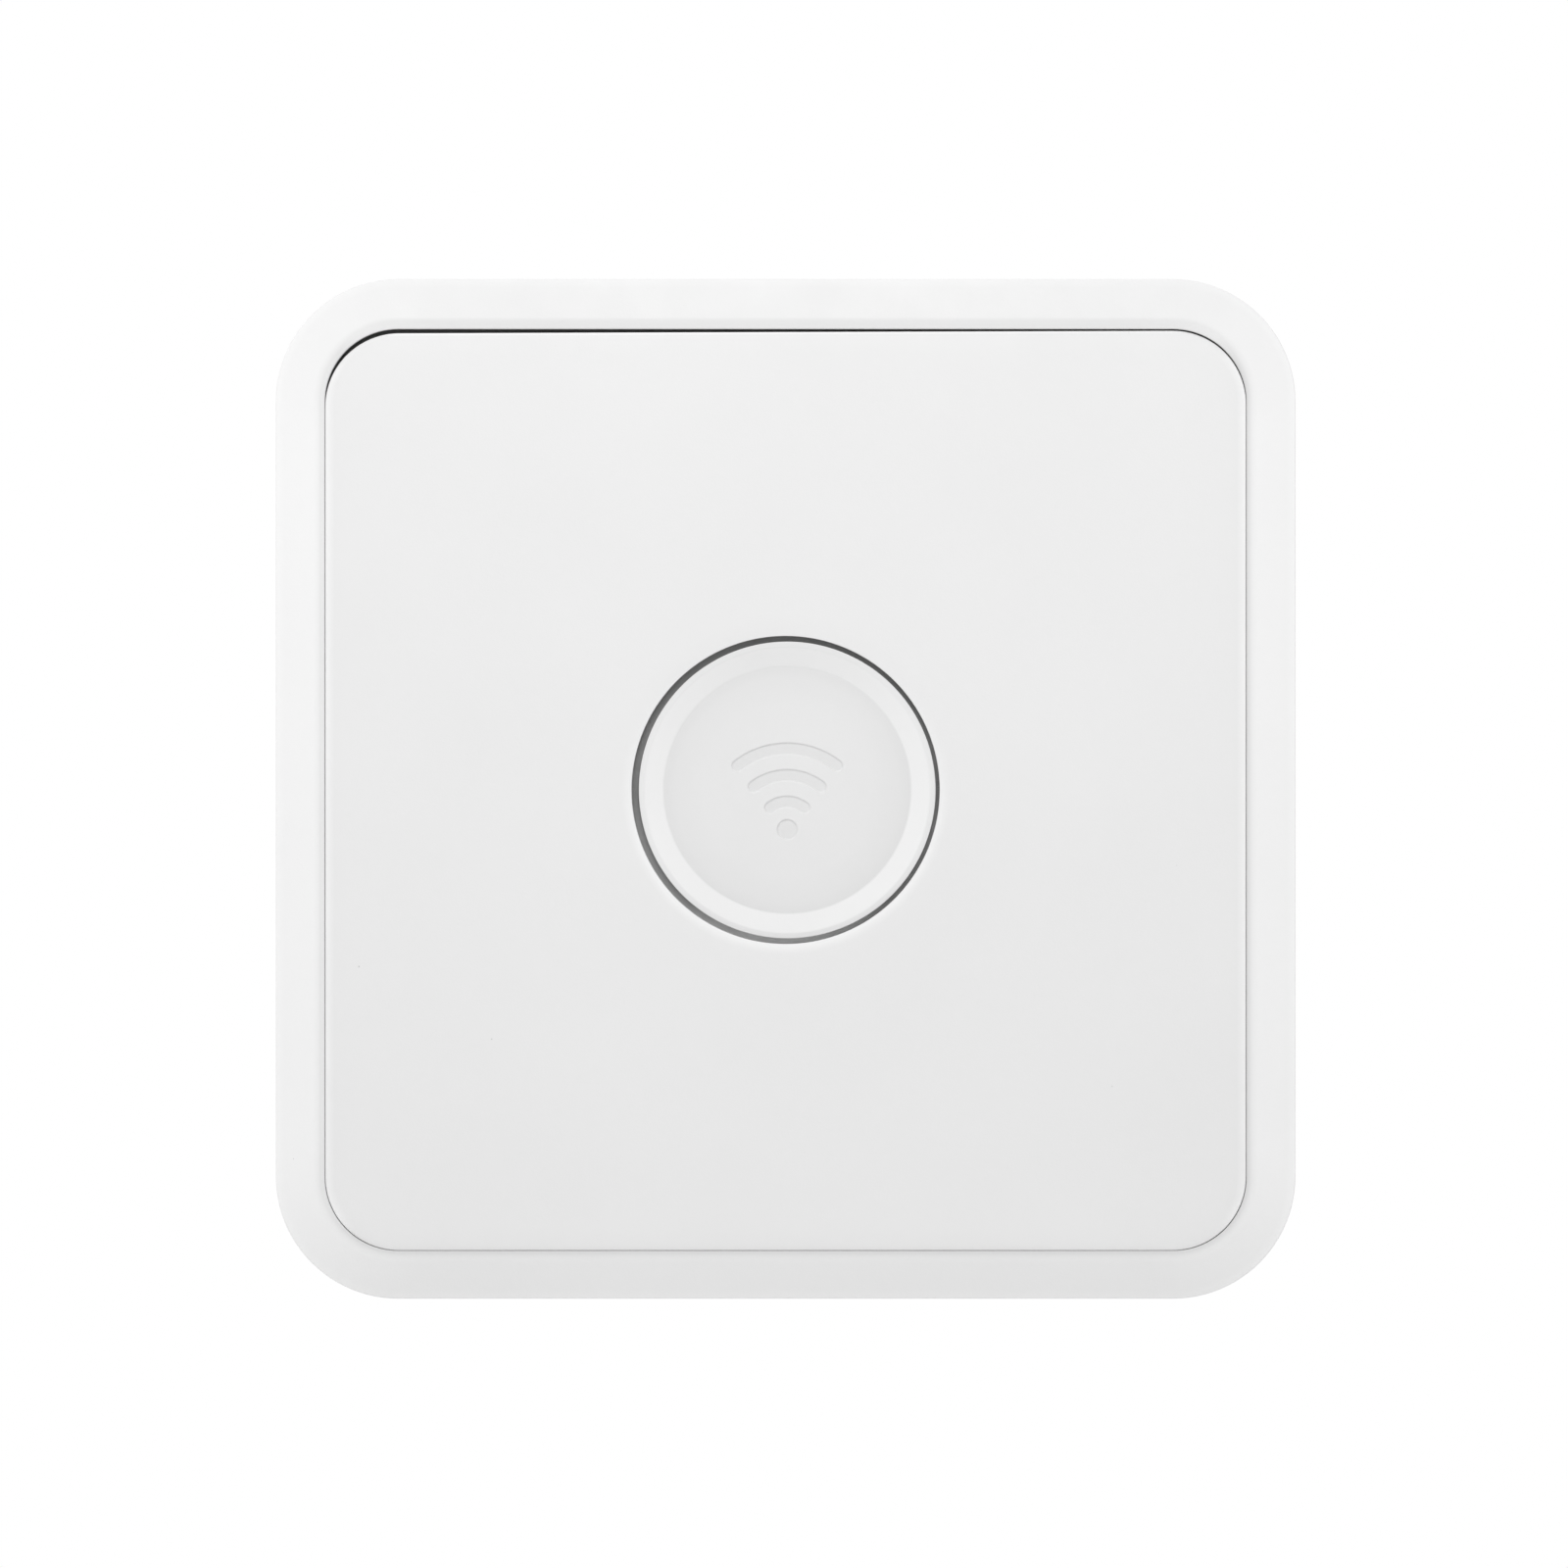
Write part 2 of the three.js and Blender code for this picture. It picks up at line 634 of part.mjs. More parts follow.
const caseScrews = () =>
  inQuadrants(CASE_SCREW.at, CASE_SCREW.at, (x, y, i) => {
    const made = screw(`case_screw_${i + 1}`, CASE_SCREW);
    made.position.set(x, y, CASE_TOWER.pocketTop - CASE_SCREW.headT - GAP);
    return made;
  });

const boardScrews = () =>
  inQuadrants(BOARD_SCREW.x, BOARD_SCREW.y, (x, y, i) => {
    const made = screw(`board_screw_${i + 1}`, BOARD_SCREW);
    made.rotation.x = Math.PI;
    made.position.set(x, y, ON_FRONT + BOARD_SCREW.headT);
    return made;
  });

// ---------------------------------------------------------------- network jacks

function jackInsert() {
  const inset = JACK.sheet + GAP;
  const half = JACK.width / 2 - inset;
  const back = BAY.high + JACK.length - inset;
  const body = block(-half, half, BAY.high + GAP, back, JACK.low + inset, ON_BACK - GAP);
  const { halfWidth, low, high, end, latchHalf, latchDepth } = SOCKET;
  const mouth = BAY.high - PAST;
  const plugRoom = block(-halfWidth, halfWidth, mouth, end, low, high);
  const latchRoom = block(-latchHalf, latchHalf, mouth, end, low - latchDepth, low + PAST);
  return without(body, [plugRoom, latchRoom]);
}

function jackShield() {
  const half = JACK.width / 2;
  const inner = half - JACK.sheet;
  const back = BAY.high + JACK.length;
  const outside = block(-half, half, BAY.high, back, JACK.low, ON_BACK);
  const inside = block(
    -inner,
    inner,
    BAY.high - PAST,
    back - JACK.sheet,
    JACK.low + JACK.sheet,
    ON_BACK + PAST,
  );
  return outside.subtract(inside);
}

function jackContacts() {
  const { count, pitch, width, length, low, high } = CONTACT;
  const half = (count * pitch) / 2;
  const wireEnd = SOCKET.end - PAST;
  const bar = block(-half, half, wireEnd - GAP, SOCKET.end - GAP, low - 0.2, high + 0.15);
  const wires = range(count).map((i) => {
    const x = (i - (count - 1) / 2) * pitch;
    return block(x - width / 2, x + width / 2, wireEnd - length, wireEnd, low, high);
  });
  return joined([bar, ...wires]);
}

function networkJack(number, x) {
  const jack = new THREE.Group();
  jack.position.x = x;
  jack.add(
    piece(`lan_jack_shield_${number}`, jackShield(), "tin"),
    piece(`lan_jack_insert_${number}`, jackInsert(), "black"),
    piece(`lan_jack_contacts_${number}`, jackContacts(), "gold"),
  );
  return jack;
}

// ---------------------------------------------------------------- reset button beside the jacks

function resetParts() {
  const { x, height, radius, travel, play, bodySide } = RESET;
  const bodyLow = BAY.high + BAY.wall + 1.2;
  const boreEnd = bodyLow + 4;
  const half = bodySide / 2;
  const body = block(x - half, x + half, bodyLow, bodyLow + bodySide, height - half, ON_BACK);
  const bore = pinAlongY(radius + play, bodyLow - PAST, boreEnd, x, height);
  const stem = pinAlongY(radius, BAY.high + BURIED, boreEnd - travel - play, x, height);
  return [
    piece("reset_switch", body.subtract(bore), "black"),
    piece("reset_button", stem, "red"),
  ];
}

// ---------------------------------------------------------------- components on the board's back

const CAN = { low: 15.5, sheet: 0.4, chipT: 1.6, padLow: 13.8 };
const CANS = [
  { name: "processor", x: 0, y: 32, side: 24, chip: 15 },
  { name: "radio_low", x: -18, y: 4, side: 20, chip: 9 },
  { name: "radio_high", x: 18, y: 4, side: 20, chip: 9 },
];

function shieldedChip({ name, x, y, side, chip }) {
  const inner = side - 2 * CAN.sheet;
  const can = post(x, y, side, side, CAN.low, ON_BACK).subtract(
    post(x, y, inner, inner, CAN.low + CAN.sheet, ON_BACK + PAST),
  );
  const die = post(x, y, chip, chip, ON_BACK - CAN.chipT, ON_BACK);
  const pad = post(x, y, side - 4, side - 4, CAN.padLow, CAN.low - GAP);
  return [
    piece(`shield_can_${name}`, can, "tin"),
    piece(`chip_${name}`, die, "black"),
    piece(`thermal_pad_${name}`, pad, "pad"),
  ];
}

function heatSink() {
  const sink = { halfWidth: 32, low: -10, high: 48, finLow: 7.5, baseLow: 12, baseTop: 13.5 };
  const fin = { count: 9, pitch: 7, thickness: 1.2 };
  const { halfWidth, low, high, finLow, baseLow, baseTop } = sink;
  const base = block(-halfWidth, halfWidth, low, high, baseLow, baseTop);
  const fins = range(fin.count).map((i) => {
    const x = (i - (fin.count - 1) / 2) * fin.pitch;
    return post(x, (low + high) / 2, fin.thickness, high - low - 2, finLow, baseLow + BURIED);
  });
  return piece("heat_sink", joined([base, ...fins]), "aluminium");
}

function powerParts() {
  const x = -48;
  const transformer = joined([
    post(x, -4, 14, 12, 10, ON_BACK), // core
    post(x, -4, 10, 17, 12.5, 17.5), // winding
  ]);
  const capacitors = [14, 25].map((y, i) =>
    piece(`bulk_capacitor_${i + 1}`, disc(4, 9.5, ON_BACK, x, y, STEPS.head), "black"),
  );
  return [
    piece("power_transformer", transformer, "grey"),
    ...capacitors,
    piece("power_inductor", post(50, 34, 10, 10, 15, ON_BACK), "black"),
  ];
}

// ---------------------------------------------------------------- antennas on the board's front

// A stamped strip on two legs, folded over at its top, drawn standing on the X axis.
function antennaStrip() {
  const { length, sheet, low, top, fold } = ANTENNA;
  const half = sheet / 2;
  const legTop = low + BURIED;
  const end = length / 2;
  return joined([
    block(-end, end, -half, half, low, top),
    block(-end, end, -half, fold, top - sheet, top),
    block(-12, -9, -half, half, ON_FRONT, legTop),
    block(2, 5, -half, half, ON_FRONT, legTop),
    block(2, 5, -4, half, ON_FRONT, ON_FRONT + sheet), // foot on the feed pad
  ]);
}

// The coax from the antenna's feed towards the middle, with its small round plug.
function antennaCable() {
  const route = [
    [0, -6],
    [-1, -12],
    [-6, -18],
    [-5, -26],
    [2, -32],
  ].map(([x, y]) => new THREE.Vector3(x, y, ON_FRONT + 1));
  const end = route.at(-1);
  return joined([
    tube(new THREE.CatmullRomCurve3(route), 0.65, 10),
    disc(1.5, ON_FRONT, ON_FRONT + 1.6, end.x, end.y, STEPS.hole),
  ]);
}

// One antenna and its cable on each diagonal, with the strip across the diagonal.
const antennas = () =>
  range(4).map((i) => {
    const angle = Math.PI / 4 + (i * Math.PI) / 2;
    const corner = new THREE.Group();
    corner.position.set(ANTENNA.at * Math.cos(angle), ANTENNA.at * Math.sin(angle), 0);
    corner.rotation.z = angle - Math.PI / 2;
    corner.add(
      piece(`antenna_${i + 1}`, antennaStrip(), "tin"),
      piece(`antenna_cable_${i + 1}`, antennaCable(), "black"),
    );
    return corner;
  });

// ---------------------------------------------------------------- the whole access point

const unit = new THREE.Group();
unit.add(
  rearCover(),
  frontFrame(),
  plateGasket(),
  frontPlate(),
  centerButton(),
  lightGuideRing(),
  buttonGuide(),
  buttonSpring(),
  ...buttonSwitch(),
  ...statusLeds(),
  detentBolt(),
  detentSpring(),
  mainBoard(),
  ...caseScrews(),
  ...boardScrews(),
  networkJack(1, -JACK.x),
  networkJack(2, JACK.x),
  ...resetParts(),
  ...CANS.flatMap(shieldedChip),
  heatSink(),
  ...powerParts(),
  ...antennas(),
);

const accessPoint = new THREE.Group();
accessPoint.add(mountingBracket(), unit);
accessPoint.rotation.x = Math.PI / 2; // from the bench to upright

export default accessPoint;
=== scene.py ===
"""The looks of the ceiling access point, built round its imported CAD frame.

The frame is in metres: the front faces -Y, the ceiling face lies in the plane Y = 0, and +Z is up.
Sizes below are in millimetres, and a height is a distance from the ceiling, so it grows towards -Y.
Meshes are turned into metres as they are made.
"""

import json
import math

import bmesh
import bpy
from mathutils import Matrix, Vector

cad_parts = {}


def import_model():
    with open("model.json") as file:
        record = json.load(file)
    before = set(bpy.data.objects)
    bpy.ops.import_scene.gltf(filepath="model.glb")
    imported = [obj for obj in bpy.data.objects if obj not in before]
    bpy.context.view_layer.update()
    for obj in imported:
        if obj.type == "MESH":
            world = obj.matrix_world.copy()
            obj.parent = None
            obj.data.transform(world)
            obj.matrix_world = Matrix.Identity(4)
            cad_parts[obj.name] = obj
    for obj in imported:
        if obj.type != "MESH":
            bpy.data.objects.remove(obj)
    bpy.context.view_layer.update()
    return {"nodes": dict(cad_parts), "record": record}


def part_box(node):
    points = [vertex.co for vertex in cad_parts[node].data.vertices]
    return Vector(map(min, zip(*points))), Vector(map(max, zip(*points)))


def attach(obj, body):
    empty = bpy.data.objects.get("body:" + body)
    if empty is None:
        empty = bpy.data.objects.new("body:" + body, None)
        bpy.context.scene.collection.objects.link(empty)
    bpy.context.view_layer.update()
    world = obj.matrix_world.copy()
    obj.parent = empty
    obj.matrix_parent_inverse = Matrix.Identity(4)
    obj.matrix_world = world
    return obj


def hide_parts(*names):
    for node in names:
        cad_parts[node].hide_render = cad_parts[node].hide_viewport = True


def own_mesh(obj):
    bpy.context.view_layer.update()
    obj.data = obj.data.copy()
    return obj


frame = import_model()

MM = 0.001
RECORD = frame["record"]
SLOT_OF = {part["node"]: part["material_slot"] for part in RECORD["subparts"]}
BODY_OF = {node: body for body, nodes in RECORD["behaviour"]["bodies"].items() for node in nodes}


def box_mm(node):
    """The lowest and highest corner of a CAD node, in millimetres."""
    low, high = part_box(node)
    return low / MM, high / MM


# ------------------------------------------------ sizes

FRAME_LOW, FRAME_HIGH = box_mm("front_frame")
PLATE_LOW, PLATE_HIGH = box_mm("front_plate")
BUTTON_LOW, BUTTON_HIGH = box_mm("center_button")
RING_LOW, RING_HIGH = box_mm("light_guide_ring")

HALF = FRAME_HIGH.x  # half the side of the unit
FRONT = -FRAME_LOW.y  # height of the front rim
BACK = -FRAME_HIGH.y  # height of the unit's back edge
CORNER_R = 21.6

RIM = 8.65  # border between the outer edge and the plate's pocket
SKIRT = 2.4  # side wall
EDGE_R = 0.2  # rounding of the outer front edge
CROWN = 0.75  # how far the rim falls towards its outer edge
EASE = {"width": 1.7, "drop": 0.1}  # the rim's roll into the pocket
FACE_SHIFT = -0.2  # the pocket and all that sits in it are a little low in the frame
LEDGE = {"low": 28.0, "high": 30.0, "opening": 78.0, "corner": 34.0}
BOSS = {"x": 70, "z": 70, "radius": 4.0, "hole_r": 1.7, "low": 6.3, "hole_top": 18.0}
NOTCH = {"half": 8.0, "top": 10.0, "corner": 1.6}

BRACKET = {"half": 52, "corner": 8, "low": 0, "high": 2, "notch_half": 30, "notch_top": -36}
STUD = {"x": 38, "z": 30, "neck_r": 2.5, "head_r": 4.5, "head_low": 4.9, "head_high": 6.4}
KEYHOLE = {"head_play": 0.8, "neck_play": 0.5, "past": 0.5}  # past: how far it runs beyond the stud
SCREW_SLOT = {"x": 24, "z": 14, "length": 14, "width": 5}
RELEASE = 10  # how far the unit slides up to come off the studs
DETENT = {
    "x": 45,
    "window_x": (40, 50),
    "window_z": (-7.4, 3.4),
    "hole_x": (40.6, 49.4),
    "hole_z": (-7.4, 4.4),
}
BRIDGE = {"width": 6, "z": (-14, 13), "leg": 3, "low": 13, "top": 15}

COVER = {"half": 87.2, "corner": 18.8, "floor": 3, "wall": 2, "lip_top": 9}
RECESS = {"half": 53, "z_low": -63, "top": 2.4}
BAY = {"half": 30, "z_low": -83.4, "z_high": -41.8, "top": 18, "wall": 1.8, "roof": 1.5}
VENT = {"x": 77.5, "length": 12, "width": 2, "pitch": 7, "count": 12}
STANDOFF = {"x": 66, "z": 24, "radius": 3.2, "hole_r": 1.45, "top": 19.7}
TOWER = {"radius": 4.6, "top": 6, "pocket_r": 3.4, "pocket_top": 4.4, "hole_r": 1.8}
JACK = {"x": 10, "width": 16, "low": 6.2, "play": 0.3}
RESET = {"x": 24.5, "height": 14, "hole_r": 2.0}
SCREW = {"head": 1.8, "shank_r": 1.3, "core_r": 1.05, "pitch": 1.0, "arm_half": 0.42}
BUTTON_SPRING = {"x": 0, "z": 0, "radius": 9, "wire_r": 0.4, "turns": 4, "travel": 1}
DETENT_SPRING = {"x": DETENT["x"], "z": -1.5, "radius": 3, "wire_r": 0.35, "turns": 4, "travel": 2}
BOARD_FRONT = 22  # height of the board's face, where the button's spring stands
DETENT_FLANGE = 6  # height of the flange that the detent's spring stands on

PLATE_TOP = -PLATE_LOW.y
PLATE_BACK = -PLATE_HIGH.y
PLATE_CORNER_R = 13.05
PLATE_EDGE = 0.2
# The plate fits tightly at its sides and foot, and leaves a gap at the top, wider at the left.
PLATE_PLAY = {"side": 0.04, "bottom": 0.05, "top": 0.47, "slope": 0.28}
HOLE_R = 27.2
HOLE_EDGE = 0.12

BUTTON_R = 26.2
BUTTON_TOP = -BUTTON_LOW.y
BUTTON_UNDERSIDE = 31.0  # height of the cap's inner face
BUTTON_EDGE = 0.15
BUTTON_NECK = {"radius": 25.2, "top": BUTTON_TOP - 1.3}  # the skirt below the cap's rim
BUTTON_POST = {"radius": 3.0, "tip_r": 2.6, "low": 27.4}
BUTTON_SHIFT = (0.28, FACE_SHIFT)  # the button stands off centre by part of its play
DISH = {"rim": 25.3, "foot": 21.8, "depth": 0.7}
SYMBOL = {"radii": (4.9, 9.6, 14.3), "half_width": 1.15, "dot": 1.9, "foot": -7, "depth": 0.3}
SYMBOL_ANGLE = 0.66  # half the angle of its arcs

LIGHT_GUIDE = {"play": 0.4, "low": 28.9}
LIGHT_LEG = {"x": 31 * math.sqrt(0.5), "z": 31 * math.sqrt(0.5), "radius": 1.4}

FLOOR_RADIUS = 1500
FLOOR_FADE = (800, 1450)  # it fades out between these distances
FLOOR_DROP = 350  # how far it lies below the middle of the unit
CAMERA = {"width_seen": 276.65, "above": 0.86, "left": 0.29}  # the first at the unit's widest part
# Place and side in metres, power in watts.
SOFT_LIGHTS = {
    "key": {"place": (-0.03, -0.636, 0.397), "side": 0.4, "power": 2.42},
    "rear_fill": {"place": (-0.9, 1.1, 0.5), "side": 0.8, "power": 4.0},
}

ARC_STEPS = 24  # in each corner of a rounded square
SIDE_STEPS = 32  # along each of its sides
TURN_STEPS = 192  # round a turned piece


# ------------------------------------------------ outlines and profiles


def filleted(corners, steps=6, closed=True):
    """A line through corners (a, b, radius), with each corner rounded to its radius."""
    points = []
    count = len(corners)
    for i, (a, b, radius) in enumerate(corners):
        corner = Vector((a, b))
        if radius == 0 or (not closed and i in (0, count - 1)):
            points.append(corner)
            continue
        before = (Vector(corners[i - 1][:2]) - corner).normalized()
        after = (Vector(corners[(i + 1) % count][:2]) - corner).normalized()
        half_angle = before.angle(after) / 2
        reach = radius / math.tan(half_angle)
        centre = corner + (before + after).normalized() * radius / math.sin(half_angle)
        start = corner + before * reach - centre
        end = corner + after * reach - centre
        arc = [start.slerp(end, step / steps).normalized() for step in range(steps + 1)]
        points += [centre + direction * radius for direction in arc]
    return [tuple(point) for point in points]


def rounded_square(half, radius):
    """Points (x, z) of a rounded square, spaced evenly by angle along its sides."""
    points = []
    reach = half - radius
    widest = math.atan2(reach, half)
    for quarter in range(4):
        turn = quarter * math.pi / 2
        side = [
            (half, half * math.tan(-widest + 2 * widest * step / SIDE_STEPS))
            for step in range(SIDE_STEPS)
        ]
        arc = [
            (reach + radius * math.cos(angle), reach + radius * math.sin(angle))
            for angle in (math.pi / 2 * step / ARC_STEPS for step in range(ARC_STEPS + 1))
        ]
        for x, z in side + arc[:-1]:
            points.append(
                (x * math.cos(turn) - z * math.sin(turn), x * math.sin(turn) + z * math.cos(turn))
            )
    return points


def circle(radius, steps=TURN_STEPS, centre=(0, 0)):
    """Points (x, z) of a circle."""
    angles = [2 * math.pi * step / steps for step in range(steps)]
    return [(centre[0] + radius * math.cos(a), centre[1] + radius * math.sin(a)) for a in angles]


def at_height(outline, height, shift=0):
    """A face outline (x, z) as a loop of points in space, moved up the face by the shift."""
    return [(x, -height, z + shift) for x, z in outline]


# ------------------------------------------------ meshes


def shaded(piece, sharpest=35):
    """Smooth shading, with edges over the given angle left crisp."""
    piece.data.shade_smooth()
    piece.data.set_sharp_from_angle(angle=math.radians(sharpest))
    return piece


def new_piece(name, vertices, faces):
    """An object made of points in millimetres, with its faces turned outwards."""
    mesh = bpy.data.meshes.new(name)
    mesh.from_pydata([Vector(point) * MM for point in vertices], [], faces)
    skin = bmesh.new()
    skin.from_mesh(mesh)
    bmesh.ops.recalc_face_normals(skin, faces=skin.faces)
    skin.to_mesh(mesh)
    skin.free()
    piece = bpy.data.objects.new(name, mesh)
    bpy.context.scene.collection.objects.link(piece)
    return piece


def lofted(name, loops, closed=False):
    """A skin over loops of equal length. Closed joins the last to the first, else both ends are capped."""
    count = len(loops[0])
    rows = len(loops)
    faces = []
    for row in range(rows if closed else rows - 1):
        here = row * count
        there = (row + 1) % rows * count
        for i in range(count):
            following = (i + 1) % count
            faces.append((here + i, here + following, there + following, there + i))
    if not closed:
        faces += [tuple(range(count)), tuple(range((rows - 1) * count, rows * count))]
    return new_piece(name, [point for loop in loops for point in loop], faces)


def turned(name, profile, closed=False, steps=TURN_STEPS, centre=(0, 0)):
    """A piece turned about an axis square to the face, from a profile of (radius, height)."""
    return lofted(
        name,
        [at_height(circle(radius, steps, centre), height) for radius, height in profile],
        closed,
    )


def slab(name, half, corner, edge):
    """A rounded square with an edge of (inset, height)."""
    return lofted(
        name,
        [at_height(rounded_square(half - inset, corner - inset), height) for inset, height in edge],
    )


def bake_modifiers(piece):
    """Puts the result of the modifiers into the piece's mesh."""
    evaluated = piece.evaluated_get(bpy.context.evaluated_depsgraph_get())
    mesh = bpy.data.meshes.new_from_object(evaluated)
    piece.modifiers.clear()
    piece.data = mesh
    return piece


def cleaned(piece, reach=0.001):
    """Merges points closer than the reach, and drops the faces that then have no area."""
    skin = bmesh.new()
    skin.from_mesh(piece.data)
    bmesh.ops.remove_doubles(skin, verts=skin.verts, dist=reach * MM)
    bmesh.ops.dissolve_degenerate(skin, edges=skin.edges, dist=reach * MM)
    skin.to_mesh(piece.data)
    skin.free()
    return piece


def combined(piece, others, operation):
    """Joins the others to the piece (UNION) or cuts them out of it (DIFFERENCE)."""
    for other in others:
        boolean = piece.modifiers.new(operation.lower(), "BOOLEAN")
        boolean.operation = operation
        boolean.object = other
        boolean.solver = "EXACT"
    cleaned(bake_modifiers(piece))
    for other in others:
        bpy.data.objects.remove(other)
    return piece


def gathered(pieces):
    """Pieces that don't touch each other as one, for a single cut or join."""
    skin = bmesh.new()
    for piece in pieces:
        skin.from_mesh(piece.data)
    first, *others = pieces
    skin.to_mesh(first.data)
    skin.free()
    for other in others:
        bpy.data.objects.remove(other)
    return first


def prism(name, outline, low, high):
    """A straight-sided piece between two heights."""
    return lofted(name, [at_height(outline, low), at_height(outline, high)])


def rectangle(x_low, x_high, z_low, z_high, radius=0.0):
    """Points (x, z) of a rectangle with rounded corners."""
    corners = [(x_low, z_low), (x_high, z_low), (x_high, z_high), (x_low, z_high)]
    return filleted([(x, z, radius) for x, z in corners])


def slot(x, z, size, rounding):
    """The outline of a slot along X. Its corners are rounded to a share of half its width."""
    reach, half_width = size["length"] / 2, size["width"] / 2
    return rectangle(x - reach, x + reach, z - half_width, z + half_width, rounding * half_width)


def mirrored(size):
    """The four places (x, z) of a part that stands in each corner of the face."""
    return [(side * size["x"], level * size["z"]) for side in (-1, 1) for level in (-1, 1)]


def four_cylinders(size, radius, low, high, steps=48):
    """A cylinder between two heights at each of a part's four places."""
    profile = [(radius, low), (radius, high)]
    return [turned("cylinder", profile, steps=steps, centre=place) for place in mirrored(size)]


def rounded_edges(piece, width, segments=2, sharpest=35):
    """Rounds every edge over the given angle, and keeps the flat faces flat."""
    bevel = piece.modifiers.new("edges", "BEVEL")
    bevel.width = width * MM
    bevel.segments = segments
    bevel.limit_method = "ANGLE"
    bevel.angle_limit = math.radians(sharpest)
    bevel.use_clamp_overlap = False
    bevel.miter_outer = "MITER_ARC"
    shaded(cleaned(bake_modifiers(piece)))
    weighted = piece.modifiers.new("flat_faces", "WEIGHTED_NORMAL")
    weighted.keep_sharp = True
    return bake_modifiers(piece)


# ------------------------------------------------ materials


class Look:
    """A material with a Principled shader, and short ways to add nodes to it."""

    def __init__(self, name, colour, roughness, metallic=0.0):
        self.made = bpy.data.materials.new(name)
        self.made.use_nodes = True
        self.tree = self.made.node_tree
        self.shader = self.tree.nodes["Principled BSDF"]
        self.shader.inputs["Metallic"].default_value = metallic
        self.made.diffuse_color = (*colour, 1)
        self.colour = colour
        self.roughness = roughness
        self.place = self.tree.nodes.new("ShaderNodeTexCoord").outputs["Object"]

    def feed(self, socket, value):
        """Links a value to the socket, or sets the socket to a number."""
        if isinstance(value, bpy.types.NodeSocket):
            self.tree.links.new(value, socket)
        else:
            socket.default_value = value

    def node(self, kind, **inputs):
        """A new node with its inputs fed."""
        node = self.tree.nodes.new(kind)
        for name, value in inputs.items():
            self.feed(node.inputs[name.replace("_", " ")], value)
        return node

    def math(self, operation, first, second=0.0):
        """The result of a Math node on numbers or values."""
        made = self.tree.nodes.new("ShaderNodeMath")
        made.operation = operation
        for socket, value in zip(made.inputs, (first, second)):
            self.feed(socket, value)
        return made.outputs["Value"]

    def noise(self, size, detail=2.0, stretch=None):
        """Noise with features of the given size in millimetres, from 0 to 1."""
        place = self.place
        if stretch:
            place = self.node("ShaderNodeMapping", Vector=place, Scale=stretch).outputs["Vector"]
        made = self.node("ShaderNodeTexNoise", Vector=place, Scale=1 / (size * MM), Detail=detail)
        return made.outputs["Fac"]

    def ranged(self, value, low, high, from_low=0.3, from_high=0.7):
        """A value mapped from one range to another."""
        made = self.node(
            "ShaderNodeMapRange",
            Value=value,
            From_Min=from_low,
            From_Max=from_high,
            To_Min=low,
            To_Max=high,
        )
        return made.outputs["Result"]

    def mixed(self, factor, first, second):
        """One colour or the other by the factor."""
        made = self.node("ShaderNodeMix")
        made.data_type = "RGBA"
        colours = [socket for socket in made.inputs if socket.type == "RGBA"]
        for socket, value in zip(colours, (first, second)):
            self.feed(socket, (*value, 1) if isinstance(value, tuple) else value)
        self.tree.links.new(factor, made.inputs["Factor"])
        return next(socket for socket in made.outputs if socket.type == "RGBA")

    def varied_colour(self, size, spread):
        """The base colour, lighter and darker by the spread in patches of the given size."""
        dark = tuple(channel * (1 - spread) for channel in self.colour)
        light = tuple(min(1, channel * (1 + spread)) for channel in self.colour)
        return self.mixed(self.ranged(self.noise(size), 0, 1), dark, light)

    def set_colour(self, colour):
        """Gives the shader its colour."""
        self.tree.links.new(colour, self.shader.inputs["Base Color"])

    def varied_roughness(self, size, spread, stretch=None):
        """The base roughness, rougher and smoother by the spread in patches of the given size."""
        low = max(0.02, self.roughness - spread)
        high = min(1, self.roughness + spread)
        value = self.ranged(self.noise(size, stretch=stretch), low, high)
        self.tree.links.new(value, self.shader.inputs["Roughness"])

    def bump(self, layers):
        """Relief from layers of (height value, depth in millimetres)."""
        normal = None
        for height, depth in layers:
            made = self.node("ShaderNodeBump", Height=height, Strength=1.0, Distance=depth * MM)
            if normal:
                self.tree.links.new(normal, made.inputs["Normal"])
            normal = made.outputs["Normal"]
        self.tree.links.new(normal, self.shader.inputs["Normal"])

    def specks(self, cell, radius, share):
        """1 on sparse dots, 0 elsewhere.

        Cell and radius are in millimetres, and share is how many of the cells have a dot.
        """
        cells = self.node("ShaderNodeTexVoronoi", Vector=self.place, Scale=1 / (cell * MM))
        chance = self.node("ShaderNodeSeparateColor", Color=cells.outputs["Color"])
        near = self.math("LESS_THAN", cells.outputs["Distance"], radius / cell)
        chosen = self.math("LESS_THAN", chance.outputs["Red"], share)
        return self.math("MULTIPLY", near, chosen)

    def face_place(self):
        """The distances across and up the face from the middle of the piece, in millimetres."""
        across, _, up = self.node("ShaderNodeSeparateXYZ", Vector=self.place).outputs
        return self.math("DIVIDE", across, MM), self.math("DIVIDE", up, MM)

    def height(self):
        """The distance from the ceiling, in millimetres."""
        _, depth, _ = self.node("ShaderNodeSeparateXYZ", Vector=self.place).outputs
        return self.math("DIVIDE", depth, -MM)

    def sideways(self):
        """How much further a point lies across than up or down, in millimetres."""
        return self.math("SUBTRACT", *(self.math("ABSOLUTE", side) for side in self.face_place()))

    def reach(self):
        """The distance from the button's axis, in millimetres."""
        across, up = self.face_place()
        squares = [self.math("POWER", self.math("ABSOLUTE", side), 2) for side in (across, up)]
        return self.math("SQRT", self.math("ADD", *squares))

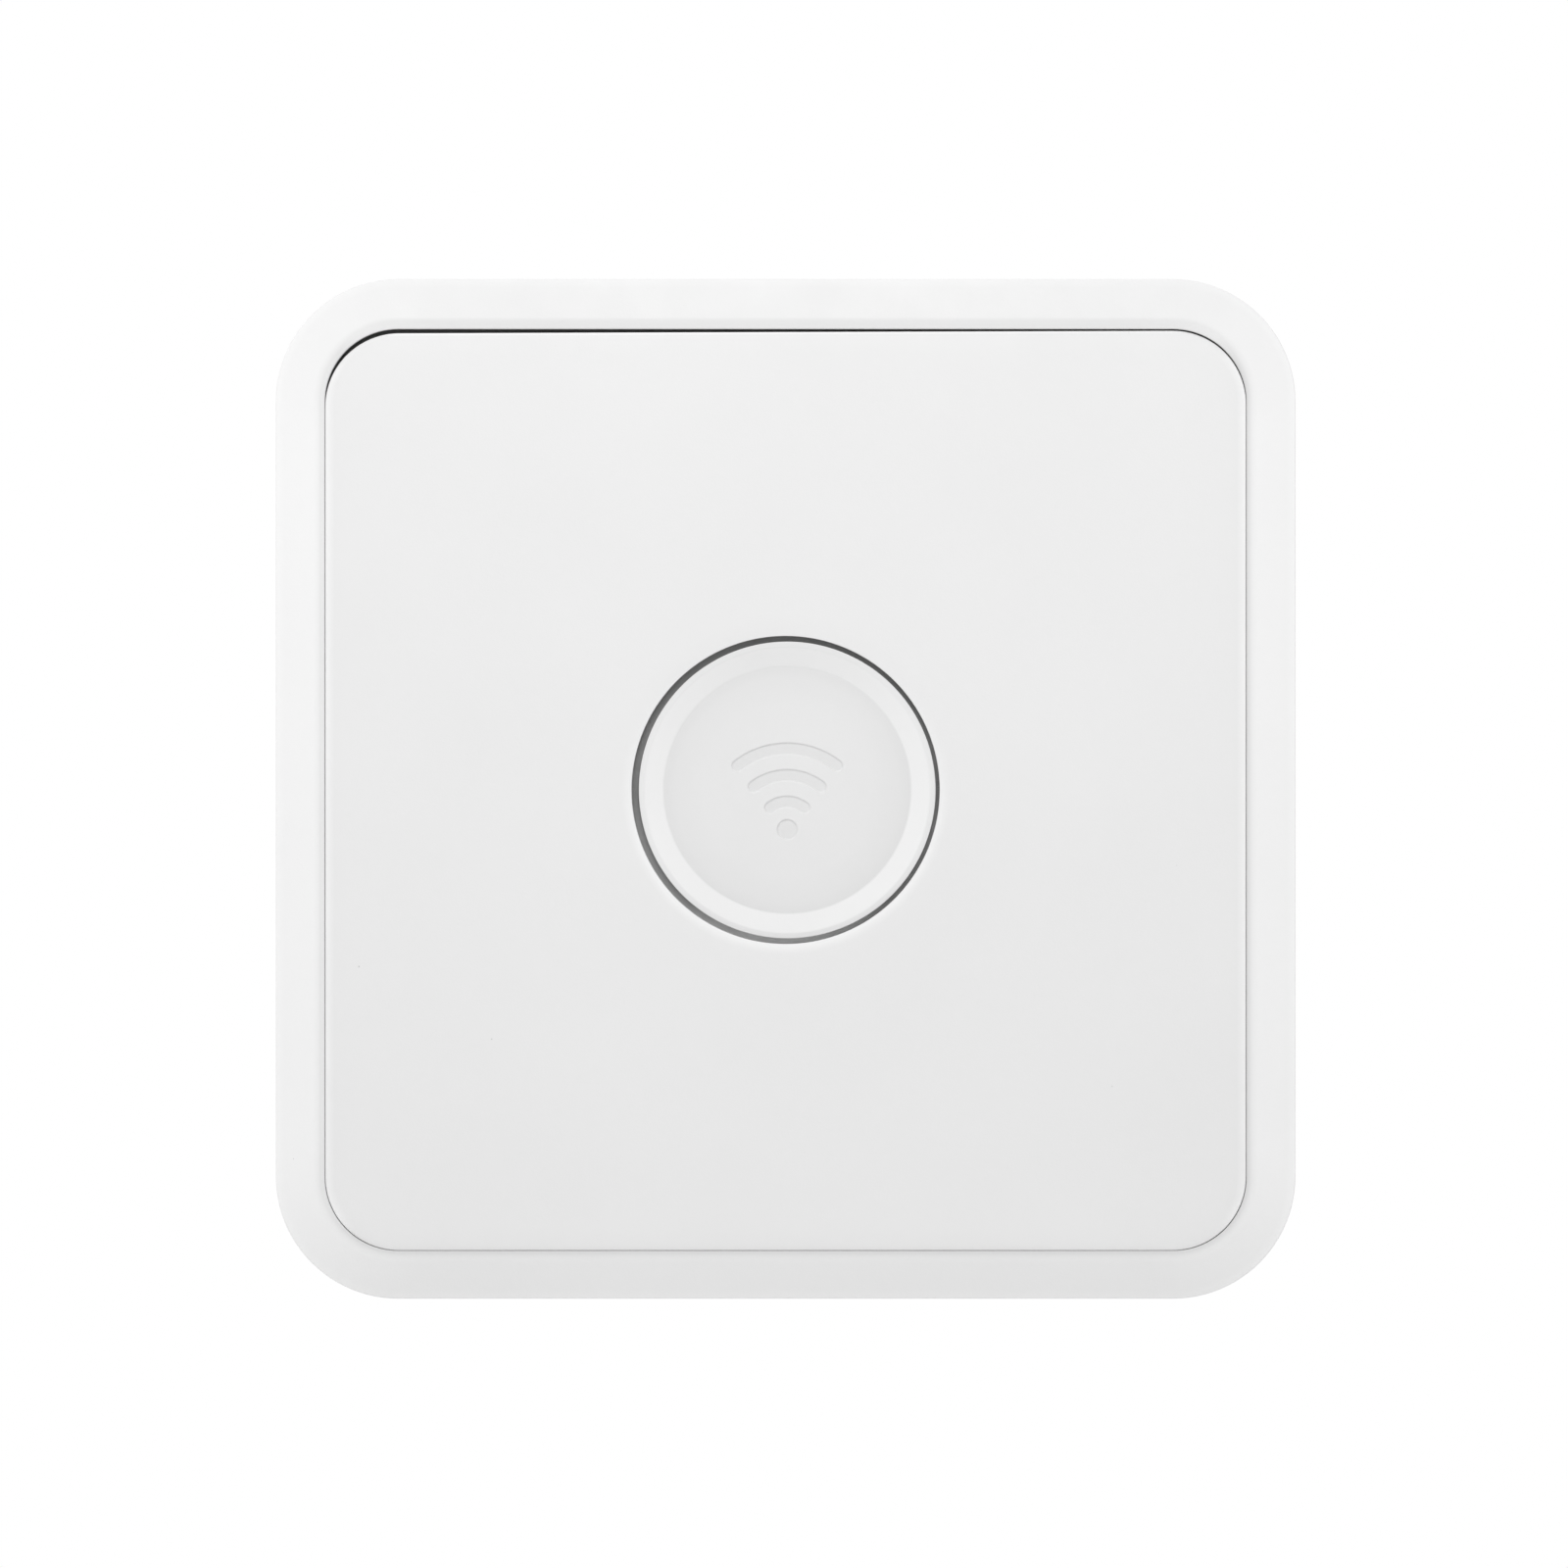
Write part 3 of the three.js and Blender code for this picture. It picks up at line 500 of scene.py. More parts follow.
    def inset(self, half, radius):
        """The distance inwards from the edge of a rounded square, in millimetres."""
        past = [
            self.math("SUBTRACT", self.math("ABSOLUTE", side), half - radius)
            for side in self.face_place()
        ]
        outside = [self.math("POWER", self.math("MAXIMUM", side, 0), 2) for side in past]
        corner = self.math("SQRT", self.math("ADD", *outside))
        inside = self.math("MINIMUM", self.math("MAXIMUM", *past), 0)
        return self.math("SUBTRACT", radius, self.math("ADD", corner, inside))

    def graded(self, value, stops):
        """Runs from stop to stop, each a pair of (value, shade from 0 to 1)."""
        start, end = stops[0][0], stops[-1][0]
        made = self.node("ShaderNodeValToRGB", Fac=self.ranged(value, 0, 1, start, end))
        elements = made.color_ramp.elements
        while len(elements) < len(stops):
            elements.new(0.5)
        for element, (at, shade) in zip(elements, stops):
            element.position = (at - start) / (end - start)
            element.color = (shade, shade, shade, 1)
        return made.outputs["Color"]

    def shaded_by(self, colour, shade):
        """A colour made darker by a shade from 0 to 1."""
        made = self.node("ShaderNodeVectorMath")
        made.operation = "MULTIPLY"
        self.tree.links.new(colour, made.inputs[0])
        self.tree.links.new(shade, made.inputs[1])
        return made.outputs["Vector"]

    def dusted(self, colour):
        """A colour with a few fine specks of dust on it."""
        dust = tuple(channel * 0.62 for channel in self.colour)
        fine = self.mixed(self.specks(11, 0.16, 0.3), colour, dust)
        return self.mixed(self.specks(23, 0.3, 0.12), fine, dust)


def moulded(name, colour, roughness, grain=0.35, depth=0.012, painted_light=None):
    """Moulded plastic with a fine eroded grain and faint flow marks. Painted light and shade, where given,
    lightens and darkens the pieces seen from the front.
    """
    look = Look(name, colour, roughness)
    base = look.varied_colour(38, 0.008)
    # Painted light and shade over the colour, with real specks of dust on top.
    if painted_light:
        base = look.dusted(look.shaded_by(base, painted_light(look)))
    look.set_colour(base)
    look.varied_roughness(7, 0.05)
    look.bump([(look.noise(grain, 3), depth), (look.noise(25), 0.02)])
    return look.made


def frame_painted_light(look):
    """Painted highlight along the outer edge, painted light on the sides, and painted shade where the rim
    meets the plate and down in the gap.
    """
    # Painted light and shade by the distance in from the outer edge: lightest just inside the outer edge,
    # darkest where the rim rolls into the pocket.
    rim_shade = [
        (0, 0.94),
        (0.1, 1.0),
        (1.6, 0.97),
        (RIM - 2, 0.97),
        (RIM - 1.3, 0.93),
        (RIM - 0.9, 0.89),
        (RIM, 0.74),
    ]
    # Painted light: the rim's left and right sides are lighter than its top and bottom.
    side_light = look.graded(look.sideways(), [(-20, 0.9), (20, 1.0)])
    across, up = look.face_place()
    inset = look.inset(HALF, CORNER_R)
    # The painted shade is lighter along the top and the left, and darkest down in the gap.
    at_top = look.graded(up, [(72, 0.7), (80, 0.93)])
    at_left = look.graded(across, [(-80, 0.87), (-72, 0.7)])
    least_shaded = look.math("MAXIMUM", at_top, at_left)
    rim_shaded = look.math("MAXIMUM", look.graded(inset, rim_shade), least_shaded)
    in_gap = look.mixed(
        look.graded(inset, [(RIM - 0.2, 0), (RIM - 0.05, 1)]),
        (1, 1, 1),
        look.graded(look.height(), [(FRONT - 1.2, 0.35), (FRONT - 0.3, 1.0)]),
    )
    return look.math("MULTIPLY", look.math("MULTIPLY", rim_shaded, side_light), in_gap)


def plate_painted_light(look):
    """Painted highlights at its sides and top and round the lower part of the hole, painted shade in the
    top gap.
    """
    plain = 0.877
    # Painted highlights along the plate's edge and round the hole.
    edge_highlight = [(0, 1.0), (0.5, 0.96), (1.0, 0.92), (1.7, plain)]
    hole_highlight = [(0, 0.958), (0.6, 0.944), (1.1, 0.91), (1.8, plain)]
    across, up = look.face_place()
    edge = look.graded(look.inset(HALF - RIM, PLATE_CORNER_R), edge_highlight)
    hole = look.graded(look.math("SUBTRACT", look.reach(), HOLE_R), hole_highlight)
    at_sides = look.graded(look.sideways(), [(-2, 0), (4, 1)])
    at_foot = look.graded(up, [(-15, 1), (20, 0)])
    grey = (plain, plain, plain)
    face = look.math("MAXIMUM", look.mixed(at_sides, grey, edge), look.mixed(at_foot, grey, hole))
    # The painted highlight at the top is a narrow line, and the painted shade lies down in the gap above
    # it.
    slope = PLATE_PLAY["slope"] / (HALF - RIM)
    top_edge = look.math("ADD", HALF - RIM - PLATE_PLAY["top"], look.math("MULTIPLY", across, slope))
    from_top = look.math("SUBTRACT", top_edge, up)
    face = look.math("MAXIMUM", face, look.graded(from_top, [(0, 1), (0.25, 1), (0.5, plain)]))
    in_gap = look.graded(look.height(), [(PLATE_TOP - 1, 0.35), (PLATE_TOP - 0.25, 1)])
    at_top = look.graded(up, [(60, 0), (80, 1)])
    return look.math("MULTIPLY", face, look.mixed(at_top, (1, 1, 1), in_gap))


def button_painted_light(look):
    """Painted shade at the foot of the dish, on the outer band and down in the symbol, and a painted
    highlight on the slope between the dish and the band.
    """
    foot = DISH["foot"]
    rim = DISH["rim"]
    # Painted light and shade by the distance from the button's axis.
    stops = [
        (0, 0.926),
        (foot - 7, 0.921),
        (foot - 2, 0.892),
        (foot - 0.1, 0.862),
        (foot + 0.3, 1.0),
        (rim - 0.3, 1.0),
        (rim + 0.1, 0.935),
        (BUTTON_R, 0.925),
    ]
    dish = BUTTON_TOP - DISH["depth"]
    # Painted shade down in the symbol's hollows.
    sunk = look.graded(look.height(), [(dish - SYMBOL["depth"] + 0.05, 0.95), (dish - 0.1, 1.0)])
    # Painted light on the slope at its left and right, painted shade at its top and bottom.
    on_slope = look.graded(look.reach(), [(foot - 0.1, 0), (foot + 0.3, 1)])
    slope_side_light = look.mixed(on_slope, (1, 1, 1), look.graded(look.sideways(), [(-20, 0.945), (15, 1.0)]))
    button_shade = look.math("MULTIPLY", look.graded(look.reach(), stops), slope_side_light)
    return look.math("MULTIPLY", button_shade, sunk)


def plated_metal(name, colour, roughness, depth=0.004):
    """Plated sheet or turned metal, with faint drawing lines and cloudy gloss."""
    look = Look(name, colour, roughness, metallic=1.0)
    look.set_colour(look.varied_colour(4, 0.06))
    look.varied_roughness(3, 0.1, stretch=(1, 1, 0.15))
    look.bump([(look.noise(0.4, 2, stretch=(1, 1, 0.06)), depth)])
    return look.made


def solder_mask(name, colour, roughness):
    """Glossy lacquer over a board, with tracks showing through as a lighter, raised net."""
    look = Look(name, colour, roughness)
    net = look.node("ShaderNodeTexVoronoi", Vector=look.place, Scale=1 / (3.2 * MM))
    net.distance = "MANHATTAN"
    net.feature = "F2"
    tracks = look.ranged(net.outputs["Distance"], 0, 1, 0.72, 0.78)
    light = tuple(channel * 1.5 for channel in colour)
    look.set_colour(look.mixed(tracks, look.varied_colour(12, 0.08), light))
    look.varied_roughness(5, 0.06)
    look.bump([(tracks, 0.03)])
    return look.made


def porous(name, colour, roughness, pore, depth):
    """Foam or a soft pad with open pores."""
    look = Look(name, colour, roughness)
    look.set_colour(look.varied_colour(pore * 2, 0.15))
    look.varied_roughness(pore * 3, 0.05)
    look.bump([(look.noise(pore, 4), depth)])
    return look.made


def frosted_guide(name, colour, roughness, painted_shade=None):
    """Frosted resin, unlit. The painted shade is a list of (height on the face, shade)."""
    look = Look(name, colour, roughness)
    base = look.varied_colour(2, 0.04)
    # Painted shade down in the button's gap, changing with height up the face.
    if painted_shade:
        base = look.shaded_by(base, look.graded(look.face_place()[1], painted_shade))
    look.set_colour(base)
    look.varied_roughness(1.5, 0.08)
    look.bump([(look.noise(0.2, 3), 0.01)])
    look.shader.inputs["Coat Weight"].default_value = 0.2
    return look.made


MATERIALS = {
    "shell_plastic": moulded("shell_plastic", (0.84, 0.84, 0.84), 0.52),
    "rear_plastic": moulded("rear_plastic", (0.8, 0.8, 0.8), 0.58, grain=0.5, depth=0.02),
    "button_plastic": moulded("button_plastic", (0.83, 0.83, 0.83), 0.46, grain=0.3, depth=0.008),
    # Painted shade in the button's gap: lightest at the foot, darkest at the middle.
    "light_guide": frosted_guide(
        "light_guide", (0.9, 0.9, 0.9), 0.35, [(-27, 1.0), (-20, 0.5), (0, 0.3), (27, 0.4)]
    ),
    "bracket_steel": plated_metal("bracket_steel", (0.62, 0.63, 0.65), 0.36, 0.006),
    "screw_steel": plated_metal("screw_steel", (0.5, 0.5, 0.52), 0.3),
    "spring_steel": plated_metal("spring_steel", (0.45, 0.45, 0.47), 0.28),
    "tinned_sheet": plated_metal("tinned_sheet", (0.7, 0.71, 0.72), 0.26),
    "contact_gold": plated_metal("contact_gold", (0.8, 0.6, 0.25), 0.24),
    "heat_sink_aluminium": plated_metal("heat_sink_aluminium", (0.66, 0.67, 0.68), 0.42, 0.01),
    "circuit_board": solder_mask("circuit_board", (0.02, 0.13, 0.05), 0.3),
    "black_plastic": moulded("black_plastic", (0.02, 0.02, 0.022), 0.5),
    "grey_plastic": moulded("grey_plastic", (0.2, 0.21, 0.22), 0.55),
    "reset_red": moulded("reset_red", (0.42, 0.03, 0.02), 0.45),
    "chip_resin": moulded("chip_resin", (0.015, 0.015, 0.017), 0.6, grain=0.15, depth=0.015),
    "capacitor_sleeve": moulded("capacitor_sleeve", (0.02, 0.02, 0.03), 0.25, grain=2, depth=0.01),
    "coax_jacket": moulded("coax_jacket", (0.03, 0.03, 0.032), 0.35, grain=1, depth=0.01),
    "led_resin": frosted_guide("led_resin", (0.75, 0.66, 0.32), 0.3),
    "thermal_pad": porous("thermal_pad", (0.18, 0.28, 0.4), 0.85, 0.5, 0.03),
    "foam": porous("foam", (0.03, 0.03, 0.033), 0.95, 0.7, 0.15),
}


# The pieces that show from the front have painted light and shade of their own.
PAINTED_LIGHT_LOOKS = {
    "front_frame": moulded("frame_plastic", (0.95, 0.95, 0.95), 0.52, painted_light=frame_painted_light),
    "front_plate": moulded("plate_plastic", (0.96, 0.96, 0.96), 0.52, painted_light=plate_painted_light),
    "center_button": moulded(
        "cap_plastic", (0.886, 0.886, 0.886), 0.46, grain=0.3, depth=0.008, painted_light=button_painted_light
    ),
}


def paint(piece, material):
    """Gives the whole piece one material."""
    piece.data.materials.clear()
    piece.data.materials.append(material)
    for face in piece.data.polygons:
        face.material_index = 0


def stand_for(piece, node):
    """The finished piece takes the place, body and finish of a CAD node."""
    paint(piece, PAINTED_LIGHT_LOOKS.get(node) or MATERIALS[SLOT_OF[node]])
    shaded(piece)
    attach(piece, BODY_OF[node])
    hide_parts(node)


# ------------------------------------------------ front frame


def rim_profile():
    """(inset, height) round the frame's section: over the rim, down into the pocket, under the ledge."""
    ledge_end = HALF - LEDGE["opening"]
    return filleted(
        [
            (0, BACK, 0.3),
            (0, FRONT - CROWN, EDGE_R),
            (RIM - EASE["width"], FRONT, 4),
            (RIM, FRONT - EASE["drop"], 0.2),
            (RIM, LEDGE["high"], 0),
            (ledge_end, LEDGE["high"], 0),
            (ledge_end, LEDGE["low"], 0),
            (SKIRT, LEDGE["low"], 0),
            (SKIRT, BACK, 0.3),
        ],
        steps=8,
    )


def rim_loop(inset, height):
    """One loop of the frame's skin. The ledge's opening has rounder corners than the pocket."""
    if inset > RIM:
        return at_height(rounded_square(LEDGE["opening"], LEDGE["corner"]), height)
    roll_start = RIM - EASE["width"] - 1
    outline = rounded_square(HALF - inset, CORNER_R - inset)
    return at_height(outline, height, FACE_SHIFT if inset > roll_start else 0)


def cable_notch():
    """A rounded block that opens the lower side wall for the cables."""
    half = NOTCH["half"]
    outline = filleted(
        [
            (-half, -5, 0),
            (half, -5, 0),
            (half, NOTCH["top"], NOTCH["corner"]),
            (-half, NOTCH["top"], NOTCH["corner"]),
        ]
    )
    return lofted("notch", [[(x, -h, z) for x, h in outline] for z in (-HALF - 2, -HALF + 4)])


def front_frame():
    """The border and side walls, with the plate's ledge, the screw bosses and the cable notch."""
    shell = lofted("front_frame_shell", [rim_loop(*point) for point in rim_profile()], closed=True)
    overlap = 0.6  # how far the bosses run into the ledge
    bosses = four_cylinders(BOSS, BOSS["radius"], BOSS["low"], LEDGE["low"] + overlap)
    holes = four_cylinders(BOSS, BOSS["hole_r"], 0, BOSS["hole_top"], steps=32)
    combined(shell, bosses, "UNION")
    combined(shell, [*holes, cable_notch()], "DIFFERENCE")
    stand_for(shell, "front_frame")


# ------------------------------------------------ front plate


def front_plate():
    """A slab with rolled edges, skinned from its outline to the button's hole."""
    pocket = HALF - RIM
    half = pocket - PLATE_PLAY["side"]
    margin = 4  # between each edge and the loop where the flat face begins
    edge = filleted(
        [(0, PLATE_BACK, 0.2), (0, PLATE_TOP, PLATE_EDGE), (margin, PLATE_TOP, 0)], closed=False
    )
    hole_edge = filleted(
        [(margin, PLATE_TOP, 0), (0, PLATE_TOP, HOLE_EDGE), (0, PLATE_BACK, 0.2)], closed=False
    )

    def settled(outline):
        """The outline with its foot and its top moved to leave their gaps in the pocket."""
        placed = []
        for x, z in outline:
            low = PLATE_PLAY["bottom"] - pocket
            high = pocket - PLATE_PLAY["top"] + PLATE_PLAY["slope"] * x / half
            placed.append((x, low + (high - low) * (z / half + 1) / 2))
        return placed

    outline = rounded_square(half, PLATE_CORNER_R)
    rays = [Vector(point).normalized() for point in outline]
    loops = [
        at_height(settled(rounded_square(half - inset, PLATE_CORNER_R - inset)), height)
        for inset, height in edge
    ]
    loops += [
        at_height([ray * (HOLE_R + outset) for ray in rays], height)
        for outset, height in hole_edge
    ]
    plate = lofted("front_plate_shell", loops, closed=True)
    plate.location.z = FACE_SHIFT * MM
    stand_for(plate, "front_plate")


# ------------------------------------------------ button and light guide


def arc_stroke(radius, half_width, half_angle, centre_z):
    """The outline of a round-ended stroke along an arc that opens upwards."""
    def point(distance, angle):
        return (distance * math.sin(angle), centre_z + distance * math.cos(angle))

    steps = 24
    cap_steps = 10
    sweep = [half_angle * (2 * step / steps - 1) for step in range(steps + 1)]
    outer = [point(radius + half_width, angle) for angle in sweep]
    inner = [point(radius - half_width, angle) for angle in reversed(sweep)]
    caps = []
    for side in (1, -1):
        middle = Vector(point(radius, side * half_angle))
        out = (Vector(point(radius + side, side * half_angle)) - middle).normalized()
        along = Vector((out.y, -out.x))
        turn = [math.pi * step / cap_steps for step in range(1, cap_steps)]
        caps.append([middle + half_width * (out * math.cos(a) + along * math.sin(a)) for a in turn])
    return [*outer, *caps[0], *inner, *caps[1]]


def symbol_cutters(surface):
    """Three signal arcs over a dot, with sloping walls, sunk below the surface."""
    foot = SYMBOL["foot"]
    depth = SYMBOL["depth"]
    slope = 0.3  # how much narrower the symbol is at its floor
    rise = 0.5  # how far a cutter stands above the surface
    levels = [(-slope * rise / depth, surface + rise), (slope, surface - depth)]
    cutters = []
    for radius in SYMBOL["radii"]:
        loops = [
            at_height(arc_stroke(radius, SYMBOL["half_width"] - inset, SYMBOL_ANGLE, foot), height)
            for inset, height in levels
        ]
        cutters.append(lofted("arc", loops))
    loops = [
        at_height(circle(SYMBOL["dot"] - inset, 48, (0, foot)), height) for inset, height in levels
    ]
    cutters.append(lofted("dot", loops))
    return cutters


def center_button():
    """A dished cap on a flanged skirt, with a post over the switch and the symbol sunk in its dish."""
    skirt_inner = 24.4
    skirt_bottom = -BUTTON_HIGH.y
    flange_r = BUTTON_HIGH.x
    flange_top = skirt_bottom + 1
    neck_r = BUTTON_NECK["radius"]
    dish = BUTTON_TOP - DISH["depth"]
    profile = filleted(
        [
            (BUTTON_POST["tip_r"], BUTTON_POST["low"], 0),
            (BUTTON_POST["radius"], BUTTON_UNDERSIDE, 0.3),
            (skirt_inner, BUTTON_UNDERSIDE, 0.5),
            (skirt_inner, skirt_bottom, 0.2),
            (flange_r, skirt_bottom, 0.2),
            (flange_r, flange_top, 0.2),
            (neck_r, flange_top, 0.2),
            (neck_r, BUTTON_NECK["top"], 0.2),
            (BUTTON_R, BUTTON_NECK["top"], 0.2),
            (BUTTON_R, BUTTON_TOP, BUTTON_EDGE),
            (DISH["rim"], BUTTON_TOP, 0.35),
            (DISH["foot"], dish, 0.25),
            (DISH["foot"] - 2, dish, 0),
        ],
        closed=False,
    )
    button = turned("center_button_cap", profile)
    combined(button, symbol_cutters(dish), "DIFFERENCE")
    button.location = (BUTTON_SHIFT[0] * MM, 0, BUTTON_SHIFT[1] * MM)
    stand_for(button, "center_button")


def light_guide_ring():
    """A ring under the gap round the button, with a leg over each status light."""
    inner_r = BUTTON_NECK["radius"] + LIGHT_GUIDE["play"]
    outer_r = RING_HIGH.x
    top = -RING_LOW.y
    low = LIGHT_GUIDE["low"]
    profile = filleted(
        [(inner_r, low, 0.2), (outer_r, low, 0.2), (outer_r, top, 0.2), (inner_r, top, 0.2)]
    )
    guide = turned("light_guide", profile, closed=True)
    legs = four_cylinders(LIGHT_LEG, LIGHT_LEG["radius"], -RING_HIGH.y, low + 0.5, steps=32)
    combined(guide, legs, "UNION")
    stand_for(guide, "light_guide_ring")


# ------------------------------------------------ mounting bracket


def stud(x, z):
    """A T-stud with a rounded head."""
    profile = filleted(
        [
            (STUD["neck_r"], 1, 0),
            (STUD["neck_r"], STUD["head_low"], 0.3),
            (STUD["head_r"], STUD["head_low"], 0.3),
            (STUD["head_r"], STUD["head_high"], 0.6),
            (1, STUD["head_high"], 0),
        ],
        closed=False,
    )
    return turned("stud", profile, steps=64, centre=(x, z))


def mounting_bracket():
    """A stamped sheet with four studs, screw slots, a cable notch and the detent's window."""
    half = BRACKET["half"]
    low, high = BRACKET["low"], BRACKET["high"]
    margin = 3  # between the outer edge and the loop where the flat faces begin
    edge = filleted(
        [(margin, low, 0), (0, low, 0.3), (0, high, 0.3), (margin, high, 0)], closed=False
    )
    sheet = slab("mounting_bracket_sheet", half, BRACKET["corner"], edge)
    slots = [slot(x, z, SCREW_SLOT, 0.99) for x, z in mirrored(SCREW_SLOT)]
    notch_half = BRACKET["notch_half"]
    notch = rectangle(-notch_half, notch_half, -half - 20, BRACKET["notch_top"], 3)
    window = rectangle(*DETENT["window_x"], *DETENT["window_z"], 0.8)
    cuts = [prism("cut", outline, low - 1, high + 1) for outline in (*slots, notch, window)]
    combined(sheet, [gathered([stud(x, z) for x, z in mirrored(STUD)])], "UNION")
    combined(sheet, [gathered(cuts)], "DIFFERENCE")
    rounded_edges(sheet, 0.15)
    stand_for(sheet, "mounting_bracket")


# ------------------------------------------------ rear cover


def keyhole(x, z):
    """The outline of a round entry with a narrower slot above it."""
    entry_r = STUD["head_r"] + KEYHOLE["head_play"]
    slot_r = STUD["neck_r"] + KEYHOLE["neck_play"]
    entry = z - RELEASE
    slot_end = z + KEYHOLE["past"]
    opening = math.asin(slot_r / entry_r)
    turn = 2 * (math.pi - opening)
    entry_steps = 40
    end_steps = 16
    points = []
    for step in range(entry_steps + 1):
        angle = math.pi / 2 + opening + turn * step / entry_steps
        points.append((x + entry_r * math.cos(angle), entry + entry_r * math.sin(angle)))
    for step in range(end_steps + 1):
        angle = math.pi * step / end_steps
        points.append((x + slot_r * math.cos(angle), slot_end + slot_r * math.sin(angle)))
    return points


def cover_mass():
    """The cover with its lip, the pan behind the bracket, the cable bay and all its posts."""
    floor, wall = COVER["floor"], COVER["wall"]
    pan_floor = RECESS["top"] + wall
    margin = 3  # between the outer edge and the loop where the floor begins
    step = 0.2  # keeps the faces of the joined blocks from lying in one plane
    lip = filleted(
        [
            (margin, BACK, 0),
            (0, BACK, 0.6),
            (0, COVER["lip_top"], 0.3),
            (wall, COVER["lip_top"], 0.3),
            (wall, floor, 0.6),
            (margin, floor, 0),
        ],
        closed=False,
    )
    cover = slab("rear_cover_shell", COVER["half"], COVER["corner"], lip)
    half = RECESS["half"] + wall
    pan_outline = rectangle(-half, half, RECESS["z_low"] - wall, half, 3)
    pan = prism("pan", pan_outline, BACK + step, pan_floor)
    side = BAY["half"] + BAY["wall"]
    foot = -COVER["half"] + 4 * step
    bay_outline = rectangle(-side, side, foot, BAY["z_high"] + BAY["wall"], 1.5)
    bay = prism("bay", bay_outline, BACK + 2 * step, BAY["top"] + BAY["roof"])
    posts = four_cylinders(STANDOFF, STANDOFF["radius"], floor - 1, STANDOFF["top"])
    posts += four_cylinders(BOSS, TOWER["radius"], floor - 1, TOWER["top"])
    combined(cover, [pan], "UNION")
    combined(cover, [bay, gathered(posts)], "UNION")
    return cover


def spring_bridge():
    """Two legs and a beam that hold the detent's spring down."""
    x_low, x_high = (DETENT["x"] + side * BRIDGE["width"] / 2 for side in (-1, 1))
    z_low, z_high = BRIDGE["z"]
    leg = BRIDGE["leg"]
    outline = [
        (z_low, RECESS["top"] + 1),
        (z_low, BRIDGE["top"]),
        (z_high, BRIDGE["top"]),
        (z_high, RECESS["top"] + 1),
        (z_high - leg, RECESS["top"] + 1),
        (z_high - leg, BRIDGE["low"]),
        (z_low + leg, BRIDGE["low"]),
        (z_low + leg, RECESS["top"] + 1),
    ]
    return lofted("bridge", [[(x, -height, z) for z, height in outline] for x in (x_low, x_high)])


def bay_cutters():
    """The bracket's recess, the cable bay and the cables' way out of it."""
    half = RECESS["half"]
    recess = rectangle(-half, half, RECESS["z_low"], half, 4)
    bay = rectangle(-BAY["half"], BAY["half"], BAY["z_low"], BAY["z_high"], 1.5)
    way_out = rectangle(-NOTCH["half"], NOTCH["half"], -HALF, BAY["z_low"] + 1)
    return [
        prism("recess", recess, -1, RECESS["top"]),
        prism("bay", bay, -2, BAY["top"]),
        prism("exit", way_out, -3, NOTCH["top"]),
    ]


def vent_cutters():
    """Two columns of slots through the cover's floor."""
    cutters = []
    for row in range(VENT["count"]):
        z = (row - (VENT["count"] - 1) / 2) * VENT["pitch"]
        for x in (-VENT["x"], VENT["x"]):
            cutters.append(prism("vent", slot(x, z, VENT, 0.98), 0, COVER["floor"] + 1))
    return cutters


def pan_cutters():
    """The keyholes for the studs and the hole for the detent bolt."""
    low, high = RECESS["top"] - 1, RECESS["top"] + COVER["wall"] + 1
    outlines = [keyhole(x, z) for x, z in mirrored(STUD)]
    outlines.append(rectangle(*DETENT["hole_x"], *DETENT["hole_z"], 0.5))
    return [prism("pan_hole", outline, low, high) for outline in outlines]


def post_cutters():
    """The pockets for the case screws' heads and the pilot holes for the board screws."""
    pockets = four_cylinders(BOSS, TOWER["pocket_r"], 0, TOWER["pocket_top"])
    pilots = four_cylinders(STANDOFF, STANDOFF["hole_r"], 10, STANDOFF["top"] + 1, steps=24)
    return pockets + pilots


def wall_cutters():
    """The windows for the two jacks and the hole for the reset button, in the bay's inner wall."""
    wall_middle = BAY["z_high"] + BAY["wall"] / 2
    near, far = wall_middle - BAY["wall"], wall_middle + BAY["wall"]
    reach = JACK["width"] / 2 + JACK["play"]
    cutters = []
    for x in (-JACK["x"], JACK["x"]):
        outline = rectangle(x - reach, x + reach, near, far)
        cutters.append(prism("window", outline, JACK["low"] - JACK["play"], BAY["top"] + 2))
    round_hole = circle(RESET["hole_r"], 32)
    loops = [
        [(RESET["x"] + x, -(RESET["height"] + up), z) for x, up in round_hole] for z in (near, far)
    ]
    cutters.append(lofted("reset_hole", loops))
    return cutters


def rear_cover():
    """The cover with its recess, bay, keyholes, vents and screw holes cut in."""
    cover = cover_mass()
    combined(cover, bay_cutters(), "DIFFERENCE")
    combined(cover, [gathered([*vent_cutters(), *pan_cutters(), *post_cutters()])], "DIFFERENCE")
    screw_holes = four_cylinders(BOSS, TOWER["hole_r"], 1, TOWER["top"] + 1, steps=24)
    combined(cover, [gathered([*screw_holes, *wall_cutters()])], "DIFFERENCE")
    combined(cover, [spring_bridge()], "UNION")
    rounded_edges(cover, 0.2)
    stand_for(cover, "rear_cover")


# ------------------------------------------------ screws


def thread(start, end):
    """The profile of a thread's rings from one height to another."""
    corners = []
    at = start
    while at < end:
        corners += [
            (SCREW["core_r"], at, 0.05),
            (SCREW["shank_r"], at + SCREW["pitch"] * 0.3, 0.03),
            (SCREW["core_r"], at + SCREW["pitch"] * 0.6, 0.05),
        ]
        at += SCREW["pitch"]
    return corners


def cross_recess(face, head_r):
    """Two crossed cutters that narrow into the head."""
    arm_reach, arm_half = head_r * 0.62, SCREW["arm_half"]
    levels = ((face - 0.2, 1.1), (face + SCREW["head"] * 0.55, 0.6))
    arms = []
    for across, up in ((arm_reach, arm_half), (arm_half, arm_reach)):
        loops = [
            at_height(rectangle(-across * scale, across * scale, -up, up), height)
            for height, scale in levels
        ]
        arms.append(lofted("arm", loops))
    return arms


